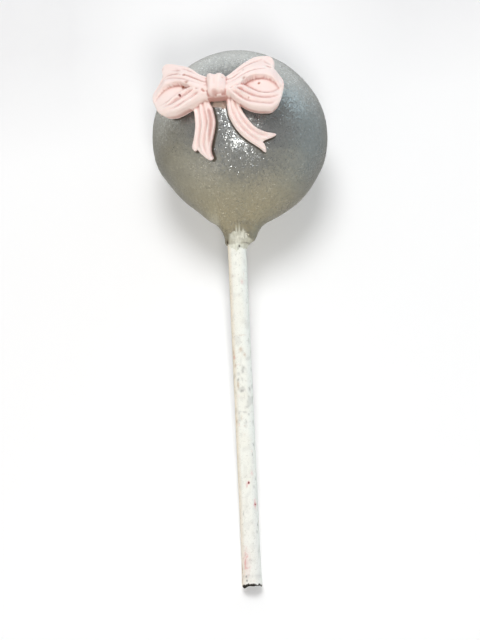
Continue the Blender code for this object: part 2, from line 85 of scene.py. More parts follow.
# Edge of the coating round the stick: angle in degrees (90 faces up), reach, radius
LIP_EDGE = [
    (0, 24.3, 2.20), (28, 24.8, 2.10), (65, 24.6, 2.05), (79, 24.85, 2.03), (93, 25.4, 2.02),
    (105, 25.1, 2.02), (118, 24.6, 2.03), (140, 24.0, 2.12), (162, 23.5, 2.36), (180, 23.2, 2.44),
    (230, 23.5, 2.50), (270, 23.3, 2.50), (320, 23.7, 2.40),
]
LIP_ROWS = 16
# How far the coating sinks towards the stick on the upper side of the neck
SADDLE_DEPTH = 0.55

# Paper stick
STICK_RADIUS = 1.98
STICK_SHIFT = 1.70
STICK_INNER_END = -3.8
STICK_OUTER_END = 96.6
STICK_FLARE = 0.12
STICK_FLARE_LENGTH = 9.0
STICK_WEAR = 0.35
# Space left between the stick and the ground, and between the stick and the coating's edge
CLEARANCE = 0.01
SOCKET_GAP = 0.3

# Bow: the way it faces, the height of its base and how flat the loops stay
BOW_NORMAL = (-0.1946, 0.0953, 0.9763)
BOW_RIGHT = (0.9790, -0.0429, 0.1994)
BOW_LIFT = 0.8
LOOP_CURVE = 34.0
LOOP_RISE = 0.40
LOOP_SPAN = 12.0
TAIL_LIFT = 0.35
EDGE_ROUNDING = 0.45
TAIL_THICKNESS = 1.15
KNOT_DROOP = 0.55
BOW_SPACING = 0.16
BOW_VOXEL = 0.125

# Outlines and lines of the bow on its own base: first to the right, second to the top.
# A smooth curve runs through each list of points.
LEFT_LOOP = [
    (-1.7, 2.6), (-2.2, 2.45), (-3.9, 3.3), (-5.9, 5.2), (-8.5, 6.7), (-11.1, 7.5), (-11.8, 7.3),
    (-12.35, 6.3), (-12.0, 4.8), (-12.1, 3.7), (-13.0, 1.9), (-14.0, -0.2), (-12.4, -4.0),
    (-9.4, -5.0), (-6.0, -4.0), (-3.2, -2.6), (-2.3, -2.4),
]
KNOT_FOOT = [(-1.5, -2.35), (0.1, -2.45)]
RIGHT_LOOP = [
    (2.3, -2.3), (3.0, -2.7), (5.5, -4.7), (7.8, -5.6), (10.2, -5.7), (11.2, -5.3), (12.35, -3.8),
    (13.0, -0.2), (12.5, 1.4), (10.95, 3.4), (11.1, 4.0), (10.85, 5.7), (9.7, 6.8), (6.8, 6.5),
    (3.4, 3.5), (1.7, 2.2),
]
KNOT_TOP = [(1.2, 1.95), (0.7, 2.15), (0.0, 2.1), (-0.4, 1.95)]
BOW_OUTLINE = LEFT_LOOP + KNOT_FOOT + RIGHT_LOOP + KNOT_TOP
KNOT_OUTLINE = [
    (-1.7, 2.45), (-0.4, 1.9), (0.3, 2.1), (1.5, 1.75), (1.75, 0.7), (1.9, -1.8), (1.45, -2.2),
    (0.5, -2.4), (-1.35, -2.35), (-1.85, -1.8), (-1.7, -0.7), (-2.0, 1.8),
]
LEFT_TAIL = [
    (-4.3, 0.6), (-5.7, -2.0), (-5.25, -5.0), (-5.7, -8.5), (-6.7, -10.7), (-6.2, -11.85),
    (-5.75, -11.6), (-5.4, -11.7), (-5.0, -12.4), (-3.3, -14.0), (-2.3, -13.9), (-2.5, -12.0),
    (-1.05, -7.2), (-1.4, -4.1), (-2.4, -1.2), (-2.3, 0.4),
]
RIGHT_TAIL = [
    (0.9, 0.3), (1.3, -1.5), (1.95, -5.9), (4.3, -9.6), (8.3, -12.3), (9.2, -12.95), (9.55, -12.7),
    (9.2, -11.3), (8.85, -10.7), (10.9, -9.7), (11.75, -8.9), (10.4, -8.75), (9.1, -8.65),
    (6.7, -7.4), (4.2, -3.8), (3.6, -1.0), (2.8, 0.2),
]
# Lower edge of the upper band, from the knot outwards
LEFT_BAND_EDGE = [(-1.3, -1.7), (-4.6, -0.35), (-7.3, 1.1), (-9.4, 1.15), (-11.3, 0.35), (-12.9, -1.1)]
RIGHT_BAND_EDGE = [
    (1.3, -2.2), (2.9, -1.25), (4.7, -0.5), (6.4, 0.8), (8.8, 1.15), (11.0, 0.1), (12.1, -1.4),
]
# Upper edge of the lower band, from the inner corner of the opening outwards
LEFT_RIM = [(-5.3, 0.2), (-8.9, -1.6), (-9.9, -2.2), (-12.5, -3.0)]
RIGHT_RIM = [(4.6, -0.2), (5.5, -0.35), (8.4, -2.2), (10.9, -2.1), (12.0, -1.3)]
# Raised ribs (line, height, width) and pressed grooves (line, depth, width)
LEFT_RIBS = [
    ([(-4.3, -0.55), (-5.5, -0.45), (-6.6, -0.9), (-7.8, -1.4), (-10.2, -2.5)], 0.62, 0.34),
    ([(-3.0, -1.15), (-4.3, -1.2), (-5.7, -2.05), (-8.3, -3.4), (-9.9, -3.8), (-11.9, -3.9)], 0.70, 0.42),
    ([(-2.0, -1.7), (-3.4, -1.9), (-4.9, -2.8), (-7.4, -4.1), (-9.1, -4.5), (-10.9, -4.5)], 0.50, 0.40),
]
RIGHT_RIBS = [
    ([(3.5, -1.15), (4.8, -0.95), (5.8, -1.6), (7.3, -2.4), (8.8, -2.85), (10.4, -2.8), (11.9, -2.3)],
     0.60, 0.38),
    ([(2.6, -1.6), (3.9, -1.75), (5.2, -2.65), (6.8, -3.6), (8.9, -4.1), (10.7, -4.0), (12.2, -3.3)],
     0.70, 0.42),
    ([(2.0, -1.95), (3.1, -2.35), (5.8, -4.5), (9.9, -5.25), (11.3, -4.8)], 0.50, 0.40),
]
LEFT_GROOVES = [
    ([(-11.6, 3.2), (-11.0, 3.8), (-8.8, 3.8), (-7.6, 3.3)], 0.60, 0.30),
    ([(-7.4, 3.1), (-6.4, 2.95), (-2.9, 1.0), (-2.0, 0.7)], 0.65, 0.30),
    ([(-12.0, 5.6), (-11.1, 5.75), (-10.0, 5.6), (-7.4, 4.4)], 0.50, 0.35),
    ([(-8.2, 5.6), (-5.6, 4.0), (-3.3, 2.3), (-2.1, 1.6)], 0.35, 0.30),
    ([(-12.4, 2.2), (-10.5, 2.7), (-8.0, 2.25), (-5.3, 1.2), (-2.3, -0.2)], 0.35, 0.32),
]
RIGHT_GROOVES = [
    ([(1.6, 0.8), (2.8, 1.2), (3.8, 1.8), (5.0, 2.6)], 0.45, 0.35),
    ([(9.1, 5.2), (9.9, 4.7), (10.7, 4.2)], 0.60, 0.35),
    ([(9.2, 3.7), (10.0, 3.5), (10.8, 3.4)], 0.45, 0.30),
    ([(1.9, 1.6), (4.2, 2.9), (6.6, 4.7), (9.2, 6.0)], 0.32, 0.32),
    ([(1.9, -0.3), (3.6, 0.5), (5.6, 1.75), (7.6, 2.6), (10.0, 2.7)], 0.35, 0.32),
]
LEFT_TAIL_RIBS = [
    ([(-4.7, -0.6), (-5.0, -2.2), (-4.8, -7.0), (-6.15, -11.1)], 0.50, 0.38),
    ([(-3.9, -0.6), (-3.5, -5.5), (-3.5, -7.2), (-4.3, -10.8), (-3.7, -13.2)], 0.55, 0.32),
    ([(-3.1, -0.6), (-2.3, -5.5), (-2.3, -7.2), (-3.15, -10.8), (-2.8, -13.5)], 0.42, 0.32),
]
RIGHT_TAIL_RIBS = [
    ([(1.8, -1.0), (2.15, -4.4), (2.55, -5.8), (3.95, -8.2), (6.0, -10.05), (9.1, -12.3)], 0.48, 0.34),
    ([(2.55, -1.0), (3.0, -4.2), (5.0, -7.7), (7.2, -9.4), (9.3, -10.1)], 0.52, 0.32),
    ([(3.2, -1.0), (3.9, -3.9), (5.3, -6.3), (7.65, -8.45), (11.2, -9.05)], 0.55, 0.34),
]
# Small pits in the bow: right, up, depth, width, strength of the dark stain, of the brown stain. The pit at
# (-5.8, 0.85) is a fold in the left loop's opening, and its dark and brown are painted shade.
PITS = [
    (-7.3, -1.6, 0.35, 0.19, 1.0, 0.0), (-7.15, 0.8, 0.25, 0.24, 0.35, 0.9),
    (-5.8, 0.85, 0.30, 0.35, 0.15, 0.75), (-2.7, -1.1, 0.20, 0.3, 0.0, 0.1),
    (8.1, 0.1, 0.30, 0.22, 0.0, 0.95), (5.3, 0.45, 0.25, 0.30, 0.25, 0.5),
    (-6.7, 3.0, 0.15, 0.25, 0.0, 0.35), (1.3, 0.7, 0.12, 0.2, 0.0, 0.2),
    (5.0, 2.7, 0.10, 0.2, 0.0, 0.2), (12.2, -1.1, 0.12, 0.25, 0.0, 0.2),
    (6.2, -3.6, 0.12, 0.15, 0.0, 0.3), (-11.9, 6.0, 0.10, 0.3, 0.0, 0.1),
    (-11.7, 4.1, 0.12, 0.25, 0.0, 0.15),
]
# Dab of sugar glue under the knot, between the two tails
DAB_OUTLINE = [(-1.5, 0.6), (-2.0, -2.3), (-1.5, -2.95), (-0.1, -3.2), (1.1, -3.5), (1.15, -1.6), (0.8, 0.5)]
DAB_HEIGHT = 0.45
DAB_SUNK = 0.4
# Heights over the bow's flat base
BAND_HEIGHT = 2.3
HOLLOW_FLOOR = 2.05
RIM_HEIGHT = 3.1
KNOT_HEIGHT = 4.4
# Painted contact shadow on the coating under the bow and close round it: outline, how far it reaches out,
# width of its soft edge
CONTACT_SHADES = ((BOW_OUTLINE, -1.3, 0.60), (LEFT_TAIL, 0.33, 0.20), (RIGHT_TAIL, 0.24, 0.18))
# Rounds of evening out that find the bow's fine creases and its wide hollows, where shade is painted
FINE_ROUNDS = 12
WIDE_ROUNDS = 90
# Lustre flakes: the reach where they end and their lowest height. The socket has none: up to a reach,
# they keep clear of all that lies deeper than a share of the ball's radius.
FLAKE_END = 20.5
FLAKE_LOWEST = 0.3
FLAKE_NECK = 16.0
FLAKE_SHELL = 0.9

# Marks on the upper side of the neck and of the stick: reach, across, half length, half width, strength
FROST_STREAKS = [
    (21.2, 0.0, 0.9, 0.16, 0.9), (21.1, 0.65, 0.9, 0.15, 1.0), (21.6, 1.45, 0.7, 0.2, 0.8),
    (21.9, 1.9, 0.5, 0.2, 0.8), (23.1, -0.65, 0.2, 0.2, 1.0), (24.5, 0.0, 0.25, 0.2, 0.9),
]
NECK_SOIL = [
    (23.6, 2.1, 0.09, 0.75, 0.8), (24.3, 0.5, 0.24, 0.2, 1.2), (23.3, -2.05, 0.45, 0.22, 1.3),
    (24.75, 0.15, 0.3, 0.12, 0.35),
]
NECK_SMUDGES = [(20.0, 2.6, 0.6, 1.3, 0.30), (22.0, -1.7, 0.7, 0.5, 0.30)]
GREY_MARKS = [
    (44.8, 1.6, 0.5, 0.3, 0.35), (51.3, 0.0, 0.5, 0.35, 0.45), (53.1, -1.0, 0.3, 0.25, 0.8),
    (55.1, 1.3, 0.45, 0.3, 0.6), (55.5, -0.3, 0.3, 0.3, 0.5), (59.0, 0.5, 0.25, 0.4, 0.4),
    (60.0, -0.3, 0.12, 0.8, 0.4), (60.5, 0.9, 0.2, 0.2, 0.6), (62.2, 0.3, 0.3, 0.2, 0.4),
    (66.9, 1.6, 0.35, 0.2, 0.5), (69.1, 1.3, 0.3, 0.2, 0.5), (74.1, 1.7, 0.3, 0.2, 0.6),
    (75.9, 1.3, 0.3, 0.2, 0.5), (81.4, -1.1, 0.5, 0.15, 0.5), (83.8, 1.7, 0.35, 0.18, 0.9),
    (85.3, 1.5, 0.3, 0.18, 0.9), (89.4, 1.6, 0.8, 0.12, 0.5), (94.5, -1.1, 0.2, 0.17, 1.5),
    (95.4, -1.0, 0.2, 0.17, 1.5), (91.1, 0.0, 0.1, 0.4, 0.4),
]
BROWN_MARKS = [
    (43.6, 0.1, 0.12, 0.9, 0.35), (46.7, -0.2, 0.5, 0.4, 0.5), (47.8, 0.6, 0.4, 0.3, 0.4),
    (47.6, -1.7, 1.3, 0.25, 0.6), (50.0, -1.5, 0.4, 0.3, 0.5), (54.2, -1.1, 0.8, 0.25, 0.6),
    (61.8, -1.7, 0.7, 0.2, 0.6), (92.9, -1.9, 0.9, 0.2, 0.8), (95.0, -1.9, 0.5, 0.2, 0.8),
]
PINK_MARKS = [
    (75.0, 0.2, 0.25, 0.18, 1.6), (75.4, -0.2, 0.5, 0.15, 0.5), (79.4, 1.4, 0.9, 0.35, 0.7),
    (91.6, -1.0, 2.4, 0.7, 0.5), (48.2, -1.6, 0.4, 0.25, 0.5), (73.0, 1.0, 0.5, 0.25, 0.3),
]
# Faint scattered marks all round the stick
SCATTER_COUNT = 70
SCATTER_SEED = 11
SCATTER_REACH = (26.0, 96.0)
SCATTER_SIDE = 6.2
# Reach of the scuffed middle, and where the pink strokes, the worn end and the black end face begin
SCUFFS_AT = 54.0
STROKES_FROM = 76.0
WORN_FROM = 93.0
END_BLACK_FROM = 96.05

# Colours of thin layers, marks and stains, and of painted light and shade
PEARL_GLINT = (0.55, 0.56, 0.56)
# White of the frost, also used for a painted light patch at the neck
FROST_AND_LIGHT_WHITE = (0.82, 0.83, 0.73)
# Dark of the soil marks at the neck, and of the painted contact shadow round the bow
DARK_SOIL_AND_SHADE = (0.05, 0.035, 0.02)
FLAKE_BLUE = (0.20, 0.235, 0.27)
FLAKE_SILVER = (0.70, 0.73, 0.75)
GLUE_PINK = (0.62, 0.45, 0.38)
# Brown and dark of the stains in the pits, and of the painted shade in one fold
BROWN_STAIN_AND_SHADE = (0.42, 0.16, 0.06)
DARK_STAIN_AND_SHADE = (0.16, 0.01, 0.02)
# Painted cool light on the stick's right side and painted warm shade along its left
PAPER_COOL_LIGHT = (0.85, 0.91, 0.90)
PAPER_WARM_SHADE = (0.86, 0.74, 0.58)
PAPER_FREE_END = (0.84, 0.80, 0.79)
PAPER_FIBRE = (0.70, 0.70, 0.64)
PAPER_FLECK = (0.50, 0.48, 0.42)
PAPER_DUST = (0.55, 0.56, 0.54)
GREY_SMUDGE = (0.15, 0.145, 0.14)
BROWN_SMUDGE = (0.45, 0.27, 0.15)
PINK_SMUDGE = (0.72, 0.26, 0.26)
RED_SPECK = (0.16, 0.01, 0.012)
END_BLACK = (0.012, 0.008, 0.006)

# Camera: distance, elevation, roll, image size and the scale of the image at the ball
CAMERA_DISTANCE = 450.0
CAMERA_ELEVATION = 70.0
CAMERA_ROLL = 2.57
IMAGE_HEIGHT = 640
IMAGE_SCALE = 0.2165
BALL_ROW = 138
SENSOR = 36.0

# Stage, in metres: size of the floor and the place that the lights look at
FLOOR_SIZE = 1.5
FLOOR_GLOW = 0.045
LIGHT_AIM = (0.0, -0.02, 0.015)


def smooth_line(points, spacing, closed):
    """Points at an even spacing on a smooth curve through the given ones."""
    ring = np.array(points, float)
    count = len(ring)
    steps = np.linspace(0.0, 1.0, 12, endpoint=False)
    dense = []
    for i in range(count if closed else count - 1):
        if closed:
            a, b, c, d = (ring[(i + k) % count] for k in (-1, 0, 1, 2))
        else:
            a, b, c, d = (ring[min(max(i + k, 0), count - 1)] for k in (-1, 0, 1, 2))
        for t in steps:
            bend = (2 * b + (c - a) * t + (2 * a - 5 * b + 4 * c - d) * t**2
                    + (3 * b - a - 3 * c + d) * t**3)
            dense.append(bend / 2)
    dense.append(ring[0] if closed else ring[-1])
    dense = np.array(dense)
    length = np.concatenate([[0.0], np.cumsum(np.linalg.norm(np.diff(dense, axis=0), axis=1))])
    number = max(3, round(length[-1] / spacing))
    stops = np.linspace(0.0, length[-1], number + 1)
    if closed:
        stops = stops[:-1]
    return np.column_stack([np.interp(stops, length, dense[:, k]) for k in range(ring.shape[1])])


def to_line(points, line, closed=False):
    """Distance to a line, the side (+1 on the left of its course) and the share passed along it."""
    start = line if closed else line[:-1]
    end = np.roll(line, -1, axis=0) if closed else line[1:]
    way = end - start
    length = np.maximum((way**2).sum(axis=1), 1e-12)
    distance, side, passed = [], [], []
    for part in np.array_split(points, max(1, len(points) // 4000)):
        rel = part[:, None, :] - start[None, :, :]
        share = np.clip((rel * way[None]).sum(axis=2) / length, 0.0, 1.0)
        off = rel - share[..., None] * way[None]
        away = np.sqrt((off**2).sum(axis=2))
        best = away.argmin(axis=1)
        rows = np.arange(len(part))
        turn = way[best, 0] * rel[rows, best, 1] - way[best, 1] * rel[rows, best, 0]
        distance.append(away[rows, best])
        side.append(np.where(turn >= 0, 1.0, -1.0))
        passed.append((best + share[rows, best]) / len(start))
    return np.concatenate(distance), np.concatenate(side), np.concatenate(passed)


def inside(points, outline):
    """True where a point lies within a closed outline."""
    result = np.zeros(len(points), bool)
    before = np.roll(outline, 1, axis=0)
    for (x1, y1), (x2, y2) in zip(outline, before):
        crosses = (y1 > points[:, 1]) != (y2 > points[:, 1])
        slope = (x2 - x1) / (y2 - y1 if y2 != y1 else 1e-12)
        result ^= crosses & (points[:, 0] < slope * (points[:, 1] - y1) + x1)
    return result


def ease(value):
    """Smooth step from 0 to 1."""
    t = np.clip(value, 0.0, 1.0)
    return t * t * (3.0 - 2.0 * t)


def bell(distance, width):
    """Smooth bump of height 1 around distance 0."""
    return np.exp(-(distance / width)**2)


def rounded(depth, radius):
    """Drop in height near an edge: the radius at the edge itself, nothing further in than the radius."""
    t = np.clip(depth / radius, 0.0, 1.0)
    return radius * (1.0 - np.sqrt(np.maximum(1.0 - (1.0 - t)**2, 0.0)))


def wavy(points, size, seed):
    """Soft random unevenness between about -1 and 1 at each point; size is that of one wave."""
    shift = Vector((17.3 * seed, 5.1 * seed, 9.7 * seed))
    return np.array([noise.noise(Vector(p) / size + shift) for p in points])


def raised(points, ribs):
    """Sum of the heights of some ribs at each point, less at their far ends."""
    total = np.zeros(len(points))
    for line, height, width in ribs:
        away, _, passed = to_line(points, smooth_line(line, LINE_STEP, False))
        total += height * bell(away, width) * (0.35 + 0.65 * ease(4.0 * (1.0 - passed)))
    return total


def loop_heights(points, edge, rim, ribs, grooves, sign):
    """Height of one loop of the bow; sign is -1 for the left one and +1 for the right one."""
    out = sign * points[:, 0]
    apart, side, _ = to_line(points, smooth_line(edge, LINE_STEP, False))
    above = apart * side * sign
    band = BAND_HEIGHT + 1.75 * bell(np.maximum(above, 0.0), 3.3) - 0.45 * bell(out - 1.7, 1.7)
    band -= 0.95 * ease((out - 10.2) / 2.8)
    for line, depth, width in grooves:
        away, _, passed = to_line(points, smooth_line(line, LINE_STEP, False))
        band -= depth * bell(away, width) * np.sin(math.pi * np.clip(passed, 0.03, 0.97))**0.5
    band -= rounded(above, 0.4)
    floor = HOLLOW_FLOOR + 0.75 * ease((out - 5.5) / 6.0)
    apart, side, _ = to_line(points, smooth_line(rim, LINE_STEP, False))
    below = -apart * side * sign
    root = 1.0 - ease((out - 3.0) / 4.0)
    crest = RIM_HEIGHT - 0.55 * root + raised(points, ribs) * (1.0 + 0.7 * root)
    share = ease(below / 0.5 + 0.3)
    if sign < 0:
        share *= 0.2 + 0.8 * ease((13.2 - out) / 3.4)
    lower = floor + (crest - floor) * share
    return np.where(above > 0, np.maximum(band, lower), lower)


def bow_heights(points):
    """Height of the loops and the knot over the flat base of the bow."""
    left = loop_heights(points, LEFT_BAND_EDGE, LEFT_RIM, LEFT_RIBS, LEFT_GROOVES, -1.0)
    right = loop_heights(points, RIGHT_BAND_EDGE, RIGHT_RIM, RIGHT_RIBS, RIGHT_GROOVES, 1.0)
    height = np.where(points[:, 0] < 0, left, right)
    knot = smooth_line(KNOT_OUTLINE, OUTLINE_STEP, True)
    depth, _, _ = to_line(points, knot, True)
    dome = KNOT_HEIGHT - 0.04 * points[:, 1]**2 - 0.10 * (points[:, 0] + 0.1)**2
    dome += 0.32 * bell(points[:, 0] + 1.0, 0.45) + 0.25 * bell(points[:, 0] - 0.6, 0.5)
    dome -= 0.8 * rounded(depth, 1.2) + KNOT_DROOP * np.maximum(-points[:, 1] - 0.9, 0.0)**2
    dome = np.where(points[:, 1] < -1.0, dome, np.maximum(dome, height))
    height = np.where(inside(points, knot), dome, height)
    edge, _, _ = to_line(points, smooth_line(BOW_OUTLINE, OUTLINE_STEP, True), True)
    return height - rounded(edge, EDGE_ROUNDING)


def tail_heights(points, outline, ribs):
    """Height of a tail over the ball."""
    depth, _, _ = to_line(points, smooth_line(outline, OUTLINE_STEP, True), True)
    return TAIL_THICKNESS + raised(points, ribs) - rounded(depth, 0.35)


def dab_heights(points):
    """Height of the dab over its sunk base."""
    depth, _, _ = to_line(points, smooth_line(DAB_OUTLINE, OUTLINE_STEP, True), True)
    return DAB_SUNK + DAB_HEIGHT * ease(depth / 0.8)


def bow_axes():
    """The bow's own directions: out of the ball, to the right and to the top."""
    normal = Vector(BOW_NORMAL).normalized()
    right = Vector(BOW_RIGHT)
    right = (right - normal * right.dot(normal)).normalized()
    up = normal.cross(right)
    return np.array(normal), np.array(right), np.array(up)


def wrapped(points, height, radius, lift):
    """Places flat points on a sphere that touches the bow's base, around the ball's centre."""
    normal, right, up = bow_axes()
    if radius == LOOP_CURVE:
        points = np.column_stack([points[:, 0], points[:, 1] + LOOP_RISE * (points[:, 0] / LOOP_SPAN)**2])
    distance = np.maximum(np.hypot(points[:, 0], points[:, 1]), 1e-9)
    angle = distance / radius
    way = (points[:, 0:1] * right + points[:, 1:2] * up) / distance[:, None]
    centre = normal * (BALL_RADIUS + lift - radius)
    reach = (radius + height)[:, None]
    return centre + reach * (np.cos(angle)[:, None] * normal + np.sin(angle)[:, None] * way)


def unwrapped(points, radius, lift):
    """The flat place of each point of the bow: the reverse of wrapped, without the height."""
    normal, right, up = bow_axes()
    way = points - normal * (BALL_RADIUS + lift - radius)
    way = way / np.linalg.norm(way, axis=1)[:, None]
    angle = np.arccos(np.clip(way @ normal, -1.0, 1.0))
    share = radius * angle / np.maximum(np.sin(angle), 1e-9)
    flat = np.column_stack([way @ right * share, way @ up * share])
    if radius == LOOP_CURVE:
        flat[:, 1] -= LOOP_RISE * (flat[:, 0] / LOOP_SPAN)**2
    return flat


def fill_points(outline, spacing, margin):
    """Even triangular pattern of points inside an outline."""
    low = outline.min(axis=0)
    high = outline.max(axis=0)
    rows = []
    step = spacing * math.sqrt(3.0) / 2.0
    for j in range(int((high[1] - low[1]) / step) + 1):
        x = np.arange(low[0] + (j % 2) * spacing / 2.0, high[0], spacing)
        rows.append(np.column_stack([x, np.full(len(x), low[1] + j * step)]))
    points = np.concatenate(rows)
    points = points[inside(points, outline)]
    distance, _, _ = to_line(points, outline, True)
    return points[distance > margin]


def sheet(outline, inner):
    """Triangles over an outline with some points inside it, the outline's points first."""
    points = np.concatenate([outline, inner])
    count = len(outline)
    edges = [(i, (i + 1) % count) for i in range(count)]
    flat = [Vector((float(x), float(y))) for x, y in points]
    result = delaunay_2d_cdt(flat, edges, [list(range(count))], 1, 1e-7)
    made = np.array([(p.x, p.y) for p in result[0]])
    return made, result[2]


def slab(name, outline, heights, radius, lift, spacing):
    """Closed body with a shaped top over an outline and a plain underside on the curved base."""
    ring = smooth_line(outline, spacing, True)
    top, top_faces = sheet(ring, fill_points(ring, spacing, spacing * 0.5))
    under, under_faces = sheet(ring, fill_points(ring, spacing * 4.0, spacing))
    count = len(top)
    places = [wrapped(top, heights(top), radius, lift), wrapped(under, np.zeros(len(under)), radius, lift)]
    faces = [list(face) for face in top_faces]
    faces += [[count + i for i in reversed(face)] for face in under_faces]
    edge = len(ring)
    for i in range(edge):
        j = (i + 1) % edge
        faces.append([count + i, count + j, j, i])
    return to_object(name, lifted(np.concatenate(places)), faces)


def lifted(points):
    """Moves points around the ball's centre (mm) to their place over the ground (metres)."""
    return (points + np.array((0.0, 0.0, BALL_HEIGHT))) * MM


def end_wear(angle):
    """Uneven reach of the stick's worn free end around its edge."""
    return 0.22 * np.sin(2.0 * angle + 0.6) + 0.13 * np.sin(5.0 * angle + 2.0)


def tilt():
    """Angle at which the stick leans down until its free end just clears the ground."""
    end_radius = STICK_RADIUS + STICK_FLARE
    end_reach = STICK_OUTER_END - STICK_WEAR + float(end_wear(-math.pi / 2.0))
    slant = math.hypot(end_reach, end_radius)
    rise = (BALL_HEIGHT - CLEARANCE) / slant
    return math.asin(rise) - math.atan2(end_radius, end_reach)


def laid(points):
    """Lays points around the ball's centre (mm, with the stick level) over the ground (metres)."""
    turn = np.array(Matrix.Rotation(tilt(), 3, "X"))
    return lifted(points @ turn.T)


def to_object(name, points, faces):
    """Makes a smooth-shaded object from points in metres and faces, with its faces turned outwards."""
    data = bpy.data.meshes.new(name)
    data.from_pydata(points.tolist(), [], faces)
    mesh = bmesh.new()
    mesh.from_mesh(data)
    bmesh.ops.remove_doubles(mesh, verts=mesh.verts, dist=1e-7)
    bmesh.ops.recalc_face_normals(mesh, faces=mesh.faces)
    mesh.to_mesh(data)
    mesh.free()
    data.shade_smooth()
    made = bpy.data.objects.new(name, data)
    bpy.context.scene.collection.objects.link(made)
    return made


def apply_modifiers(target):
    """Turns an object and its modifiers into a plain mesh."""
    bpy.context.view_layer.update()
    graph = bpy.context.evaluated_depsgraph_get()
    data = bpy.data.meshes.new_from_object(target.evaluated_get(graph))
    old = target.data
    target.modifiers.clear()
    target.data = data
    bpy.data.meshes.remove(old)


def united(target, others):
    """Unites an object with others, which are removed."""
    group = bpy.data.collections.new("united")
    bpy.context.scene.collection.children.link(group)
    for other in others:
        bpy.context.scene.collection.objects.unlink(other)
        group.objects.link(other)
    union = target.modifiers.new("union", "BOOLEAN")
    union.operation = "UNION"
    union.solver = "EXACT"
    union.operand_type = "COLLECTION"
    union.collection = group
    apply_modifiers(target)
    for other in others:
        bpy.data.objects.remove(other)
    bpy.data.collections.remove(group)


def remeshed(target, voxel):
    """Gives an object an even fine mesh; voxel is in mm."""
    step = target.modifiers.new("even", "REMESH")
    step.mode = "VOXEL"
    step.voxel_size = voxel * MM
    step.use_smooth_shade = True
    apply_modifiers(target)


def read_points(target):
    """The places and normals of an object's points."""
    count = len(target.data.vertices)
    places = np.zeros(count * 3)
    normals = np.zeros(count * 3)
    target.data.vertices.foreach_get("co", places)
    target.data.vertices.foreach_get("normal", normals)
    return places.reshape(-1, 3), normals.reshape(-1, 3)


def write_points(target, places):
    """Moves an object's points to new places."""
    target.data.vertices.foreach_set("co", places.ravel())
    target.data.update()


def averaged(target, values, rounds):
    """Values at an object's points, evened out with their neighbours a number of times."""
    edges = np.zeros(len(target.data.edges) * 2, int)
    target.data.edges.foreach_get("vertices", edges)
    edges = edges.reshape(-1, 2)
    start = np.concatenate([edges[:, 0], edges[:, 1]])
    end = np.concatenate([edges[:, 1], edges[:, 0]])
    count = len(values)
    number = np.bincount(start, minlength=count)[:, None]
    for _ in range(rounds):
        total = np.column_stack([
            np.bincount(start, weights=values[end, k], minlength=count) for k in range(values.shape[1])])
        values = 0.5 * values + 0.5 * total / number
    return values


def hollows(target, rounds):
    """How far each point lies below (or above, if negative) its evened-out surroundings, in mm."""
    places, normals = read_points(target)
    even = averaged(target, places, rounds)
    return ((even - places) * normals).sum(axis=1) / MM


def keep_values(target, name, values):
    """Stores one number per point under a name, for the materials."""
    layer = target.data.attributes.new(name, "FLOAT", "POINT")
    layer.data.foreach_set("value", np.ascontiguousarray(values, dtype=np.float32))


def marked(along, across, marks):
    """Strength of some marks at each point, never above 1."""
    total = np.zeros(len(along))
    for reach, side, length, width, strength in marks:
        total += strength * np.exp(-((along - reach) / length)**2 - ((across - side) / width)**2)
    return np.minimum(total, 1.0)


class Socket:
    """A number in a node tree. Python's operators add Math nodes."""

    def __init__(self, tree, link):
        self.tree = tree
        self.link = link

    def __getitem__(self, key):
        """Another output of the same node."""
        return Socket(self.tree, self.link.node.outputs[key])

    def __add__(self, other):
        return self.tree.number("ADD", self, other)

    __radd__ = __add__

    def __mul__(self, other):
        return self.tree.number("MULTIPLY", self, other)

    __rmul__ = __mul__

    def __sub__(self, other):
        return self.tree.number("SUBTRACT", self, other)

    def __rsub__(self, other):
        return self.tree.number("SUBTRACT", other, self)

    def __truediv__(self, other):
        return self.tree.number("DIVIDE", self, other)

    def clamped(self):
        """The number kept between 0 and 1."""
        return self.tree.number("MINIMUM", self.tree.number("MAXIMUM", self, 0.0), 1.0)


class Tree:
    """A node tree that is being filled."""

    def __init__(self, nodes):
        self.nodes = nodes

    def put(self, slot, value):
        """Sets a socket's value or links it."""
        if isinstance(value, Socket):
            self.nodes.links.new(value.link, slot)
        else:
            slot.default_value = value

    def add(self, kind, settings=None, values=None):
        """Adds a node: its settings first, then its sockets' values or links. Returns its first output."""
        node = self.nodes.nodes.new(kind)
        for name, value in (settings or {}).items():
            if name == "points":
                curve = node.mapping.curves[0]
                while len(curve.points) < len(value):
                    curve.points.new(0.5, 0.5)
                for point, place in zip(curve.points, value):
                    point.location = place
                    point.handle_type = "VECTOR"
                node.mapping.update()
            else:
                setattr(node, name, value)
        for key, value in (values or {}).items():
            self.put(node.inputs[key], value)
        return Socket(self, node.outputs[0]) if node.outputs else node

    def number(self, operation, *values):
        """The result of a Math node."""
        return self.add("ShaderNodeMath", {"operation": operation}, dict(enumerate(values)))

    def mix(self, share, first, second):
        """A colour between two others."""
        node = self.add("ShaderNodeMix", {"data_type": "RGBA"}, {0: share, 6: first, 7: second})
        return node[2]

    def vector(self, operation, *values):
        """The result of a Vector Math node."""
        return self.add("ShaderNodeVectorMath", {"operation": operation}, dict(enumerate(values)))

    def grain(self, place, size, detail=2.0, rough=0.5):
        """Soft random pattern from 0 to 1 whose features have a size in mm."""
        return self.add("ShaderNodeTexNoise", None, {
            "Vector": place, "Scale": 1.0 / (size * MM), "Detail": detail, "Roughness": rough})


def new_material(name):
    """An empty node material: its tree, its shader and its object coordinates."""
    material = bpy.data.materials.new(name)
    material.use_nodes = True
    tree = Tree(material.node_tree)
    shader = material.node_tree.nodes["Principled BSDF"]
    place = tree.add("ShaderNodeTexCoord")["Object"]
    return material, tree, shader, place


def attribute(tree, name):
    """A number that is stored at the mesh's points."""
    return tree.add("ShaderNodeAttribute", {"attribute_name": name})["Fac"]


def rgb(colour):
    """A colour with full alpha."""
    return (colour[0], colour[1], colour[2], 1.0)


